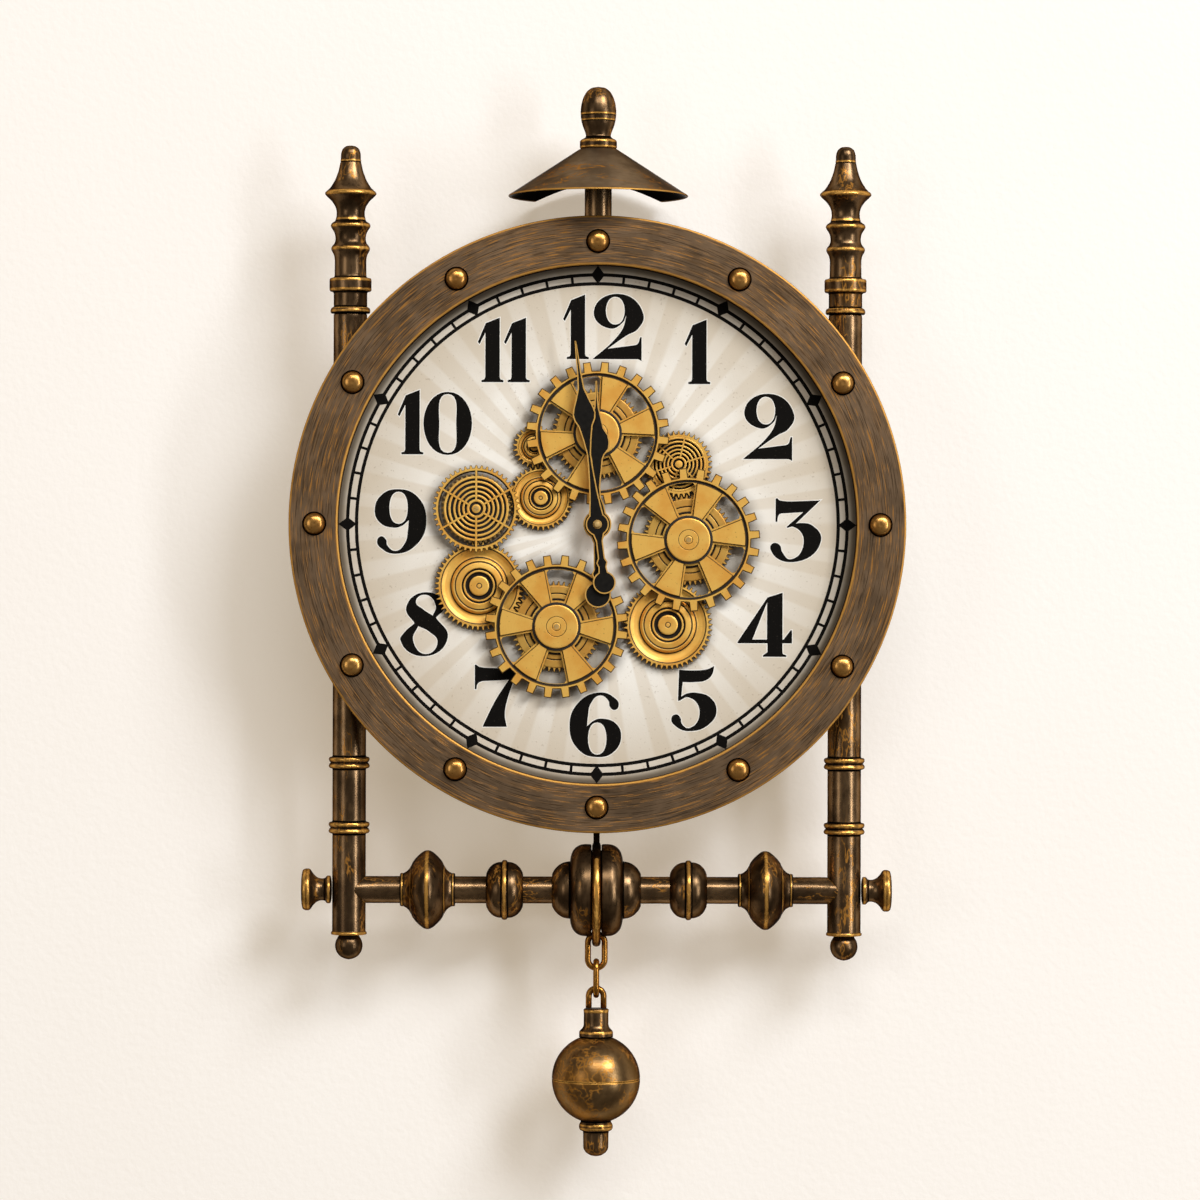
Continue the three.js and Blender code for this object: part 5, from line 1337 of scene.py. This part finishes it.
def rings_and_bars(bm, back, front, scale, reach, bar_turn):
    for inner, outer in RINGS:
        inside, outside = inner * scale, outer * scale
        profile = [(inside, back), (inside, front), (outside, front), (outside, back)]
        lay_bright(bm, turned(profile, FACING, steps=72, rounding=0.5, closed=True), 0.5)
    floor, hub = 27.6 * scale, 3.9 * scale
    lay(bm, disc([(0, back), (floor, back), (floor, back + 0.9), (0, back + 0.9)]), RECESS_SHADE)
    lay(bm, disc([(0, back), (hub, back), (hub, front + 0.1), (0, front + 0.3)]), BRASS)
    middle = Matrix.Translation(((reach + BAR_START) / 2, -(front + back) / 2 - 0.1, 0))
    size = Matrix.Diagonal((reach - BAR_START, front - back, BAR * scale, 1))
    for bar in range(BARS):
        part = bmesh.new()
        turn = Matrix.Rotation(-bar_turn - 2 * math.pi * bar / BARS, 4, "Y")
        bmesh.ops.create_cube(part, size=1, matrix=turn @ middle @ size)
        bmesh.ops.bevel(
            part, geom=part.edges[:], offset=0.25, segments=1, profile=0.5, affect="EDGES", material=-1
        )
        lay_bright(bm, part, 0.9)


bm = bmesh.new()
toothed(bm, LEFT_RING, LEFT_TIP, LEFT_TIP - LEFT_TOOTH, *LEFT_TOOTH_SHARES)
ring_wire(bm, LEFT_RIM_IN)
press(bm, LEFT_BACK, LEFT_FRONT, FINE_CHAMFER, BRASS)
rings_and_bars(bm, LEFT_BACK, LEFT_FRONT - 0.2, 1, LEFT_RIM_IN + 1, math.radians(30))
inside, outside = LEFT_RIM_IN - 1, LEFT_RIM_IN + 0.4
groove = [(inside, LEFT_BACK), (inside, LEFT_BACK + 1), (outside, LEFT_BACK + 1), (outside, LEFT_BACK)]
lay(bm, turned(groove, FACING, steps=96, rounding=0.1, closed=True), RECESS_SHADE)
mount(bm, "left_ring_turning", "left_ring", "left_ring_gear", left_ring_place, 0)
bm = fine_gear(RIGHT_RING, RIGHT_RIM_IN, BRASS)
rings_and_bars(bm, FINE_BACK, FINE_FRONT, RIGHT_SCALE, RIGHT_RIM_IN + 0.8, 0)
mount(bm, "right_ring_turning", "right_ring", "right_ring_gear", right_ring_place)

# Movement shafts: brass tubes and pin at the centre of the dial, and the nut that holds them. The
# arbors of the wheels and the pinion behind the left ring gear are of the same turned brass.
shaft_brass, *_ = grained("shaft_brass", 300, srgb(198, 150, 72), srgb(250, 216, 150), 0.2, 0.2, 0.5)
dress(
    shaft_brass, "movement_nut", "hour_cannon", "minute_arbor", "top_arbor", "right_arbor",
    "bottom_arbor", "left_ring_pinion",
)

# Hands: cut from thin sheet, black, with a bright filed edge. Each has a leaf, a round boss and
# a round counterweight on its tail.
HAND_THICKNESS = 1.2
EDGE_WIDTH = 1.1
HOUR_LEAF = [
    (126.6, 0.6), (112.4, 1.4), (103.5, 2), (91.2, 5), (85, 6.2), (78.8, 10.3), (72.6, 11.5),
    (66.4, 10.8), (61.1, 6.7), (57.5, 5.3), (50.4, 4.6), (39.8, 3.4), (32.7, 2.8), (23.9, 3.5),
    (16.8, 6.2),
]
MINUTE_LEAF = [
    (162.8, 0.6), (144.3, 1.6), (132.8, 2), (120.4, 3), (110.6, 6.2), (103.5, 8.9), (98.2, 10.2),
    (92.9, 9.3), (86.7, 6.2), (75.2, 3.8), (62, 1.8), (50.4, 2.2), (38.1, 3), (27.4, 3.8), (16.8, 5.1),
]

black, tree, surface, grain = grained(
    "blackened_hand", 260, srgb(10, 9, 8), srgb(28, 25, 21), 0.35, 0.25, detail=4
)
fill(tree, surface, {"Specular IOR Level": 0.15})
raise_relief(tree, surface, grain, 0.00005)
gilt, *_ = grained("gilt_edge", 400, srgb(206, 152, 66), srgb(240, 192, 104), 0.3, 0.2, 0.35)


def arc(radius, start, end, steps, middle=0):
    """Points of a circle about a height, from one angle to another."""
    angles = [math.radians(start + (end - start) * step / steps) for step in range(steps + 1)]
    return [(radius * math.cos(angle), radius * math.sin(angle) + middle) for angle in angles]


def hand(leaf, boss, neck, tail_reach, tail, bore, back, angle):
    """A hand from its tip to its tail, from half widths, at a depth and turned to the left."""
    right = [(half, reach) for reach, half in leaf]
    right += arc(boss, 52, -62, 12) + [(half, reach) for reach, half in neck]
    right += arc(tail, 66, -90, 16, -tail_reach)
    outline = right[:-1] + [(-half, reach) for half, reach in right[::-1]]
    bm = bmesh.new()
    wire = [bm.verts.new((half, 0, reach)) for half, reach in outline]
    join(bm, wire, True)
    ring_wire(bm, bore, 32)
    faces = thicken(bm, HAND_THICKNESS)
    paint(bm.faces, 1)
    bmesh.ops.inset_region(
        bm, faces=faces, thickness=EDGE_WIDTH, use_even_offset=False, use_boundary=True
    )
    paint(faces, 0)
    bmesh.ops.recalc_face_normals(bm, faces=bm.faces)
    at = Matrix.Translation((0, -back, 0)) @ Matrix.Rotation(-math.radians(angle), 4, "Y")
    bmesh.ops.transform(bm, matrix=at, verts=bm.verts)
    return bm


bm = hand(
    HOUR_LEAF, boss=12.4, neck=[(-17, 3.5), (-40, 3.5), (-43.5, 5.2), (-47, 4)], tail_reach=62, tail=11.5,
    bore=5.1, back=99, angle=0.58,
)
settle(bm, "hour_pointer", "hour", [black, gilt], ["hour_hand"])
bm = hand(
    MINUTE_LEAF, boss=10.2, neck=[(-15, 3.1), (-30, 3.1), (-34, 5), (-38, 3.6)], tail_reach=51.7, tail=10,
    bore=2.8, back=102, angle=7,
)
settle(bm, "minute_pointer", "minute", [black, gilt], ["minute_hand"])

# Chain: two long links bent from round rod and a bail in the cap of the ball, each hung in the
# one above, gone golden where they rub.
WIRE = 2.7
chain_bronze = bronze(
    "chain_bronze", srgb(176, 120, 54), srgb(222, 162, 78), (500, 500, 120), scratches=-1, gloss=0.26
)


def link(width, length, middle, quarter_turn):
    """A long link: half of it is a round section swung over the top, and the rest its reflection."""
    bm = bmesh.new()
    bend = width / 2 - WIRE
    straight = length / 2 - width / 2
    section = Matrix.Translation((bend, 0, straight))
    bmesh.ops.create_circle(bm, segments=16, radius=WIRE, matrix=section)
    bmesh.ops.spin(
        bm, geom=bm.verts[:] + bm.edges[:], cent=(0, 0, straight), axis=(0, -1, 0), angle=math.pi,
        steps=24,
    )
    ends = [edge for edge in bm.edges if edge.is_boundary]
    grown = bmesh.ops.extrude_edge_only(bm, edges=ends)["geom"]
    bmesh.ops.translate(bm, vec=(0, 0, -straight), verts=of_kind(grown, bmesh.types.BMVert))
    bmesh.ops.mirror(bm, geom=bm.verts[:] + bm.edges[:] + bm.faces[:], merge_dist=0.01, axis="Z")
    bmesh.ops.remove_doubles(bm, verts=bm.verts, dist=0.01)
    bmesh.ops.recalc_face_normals(bm, faces=bm.faces)
    bm.verts.layers.float.new("rub_and_shade")
    shade(bm)
    turn = Matrix.Rotation(math.pi / 2 if quarter_turn else 0, 4, "Z")
    at = Matrix.Translation((0, -AXIS_DEPTH, middle))
    bmesh.ops.transform(bm, matrix=at @ turn, verts=bm.verts)
    return bm


LINK = (20.3, 35.3)
UPPER_TOP = HOOP_DROP - HOOP_RADIUS + HOOP_BAR + GAP + 2 * WIRE
LOWER_TOP = UPPER_TOP - LINK[1] + 4 * WIRE + GAP
BAIL_TOP = LOWER_TOP - LINK[1] + 4 * WIRE + GAP
BAIL = (18.6, 40)
BAIL_FOOT = BAIL_TOP - BAIL[1] / 2
for name, top, quarter_turn in (("upper", UPPER_TOP, False), ("lower", LOWER_TOP, True)):
    bm = link(*LINK, top - LINK[1] / 2, quarter_turn)
    body = name + "_link_body"
    settle(bm, name + "_chain_link", body, [chain_bronze], [name + "_link"])
bm = link(*BAIL, BAIL_FOOT, False)
cut_flat(bm, (0, 0, BAIL_FOOT), (0, 0, -1))
settle(bm, "ball_bail", "bob", [chain_bronze], ["bob_bail"])

# Ball: two spun half shells joined at a bright seam, brown rubbed golden where a hand takes it,
# under a cast cap. The tip below is darker, as the castings are.
BALL = 39.3
HALF_SEAM = 0.15
CAP = 15.1
CAP_HEIGHT = 25.8
COLLAR = 15
CAP_TOP = BAIL_FOOT - GAP
SKIRT = CAP_TOP - CAP_HEIGHT
CENTRE = SKIRT - 2 * GAP - math.sqrt(BALL**2 - CAP**2)
CAP_PROFILE = [
    (0, SKIRT + 2.6), (14.2, SKIRT), (CAP, SKIRT + 0.4, -0.8), (CAP, SKIRT + 4.8, 0.9),
    (14.4, SKIRT + 6.2), (12, SKIRT + 8.4), (11, SKIRT + 11), (11, CAP_TOP - 3.4),
    (11.3, CAP_TOP - 2.2, 1), (11.1, CAP_TOP - 0.6), (9.8, CAP_TOP), (0, CAP_TOP),
]
cast("ball_cap", "bob_cap", CAP_PROFILE, upright(), "bob", rounding=1.4)

ball_bronze = bronze(
    "ball_bronze", srgb(138, 112, 78), srgb(194, 160, 114), (240, 240, 240), scratches=0.92, gilding=0.6,
    gloss=0.32,
)
over = arc(BALL, 0, 90, 24, CENTRE + HALF_SEAM)
bm = turned(
    [(0, CENTRE + HALF_SEAM), (*over[0], 0.9), *over[1:-1], (0, over[-1][1])],
    upright(), steps=96, rounding=0.4,
)
settle(bm, "ball_upper_shell", "bob", [ball_bronze], ["bob_upper_half"])
collar_angle = -math.degrees(math.acos(COLLAR / BALL))
under = arc(BALL, collar_angle, 0, 24, CENTRE - HALF_SEAM)
collar = under[0][1]
tip_top = collar - 0.8
bm = turned(
    [
        (0, collar - 32.5), (5, collar - 31.5), (8.8, collar - 29.1), (10.8, collar - 26.1),
        (11.2, collar - 24), (11.3, collar - 12), (11.6, collar - 10, -0.8), (13.8, collar - 9.2),
        (COLLAR, collar - 7.4, 1), (COLLAR, collar - 4.2, 0.8), (13.8, collar - 2.2),
        (13.4, tip_top, -0.8), *under[:-1], (*under[-1], 0.9), (0, CENTRE - HALF_SEAM),
    ],
    upright(), steps=96, rounding=0.9,
)
for face in bm.faces:
    face.material_index = int(face.calc_center_median().z < tip_top)
settle(bm, "ball_lower_shell", "bob", [ball_bronze, cast_bronze], ["bob_lower_half"])
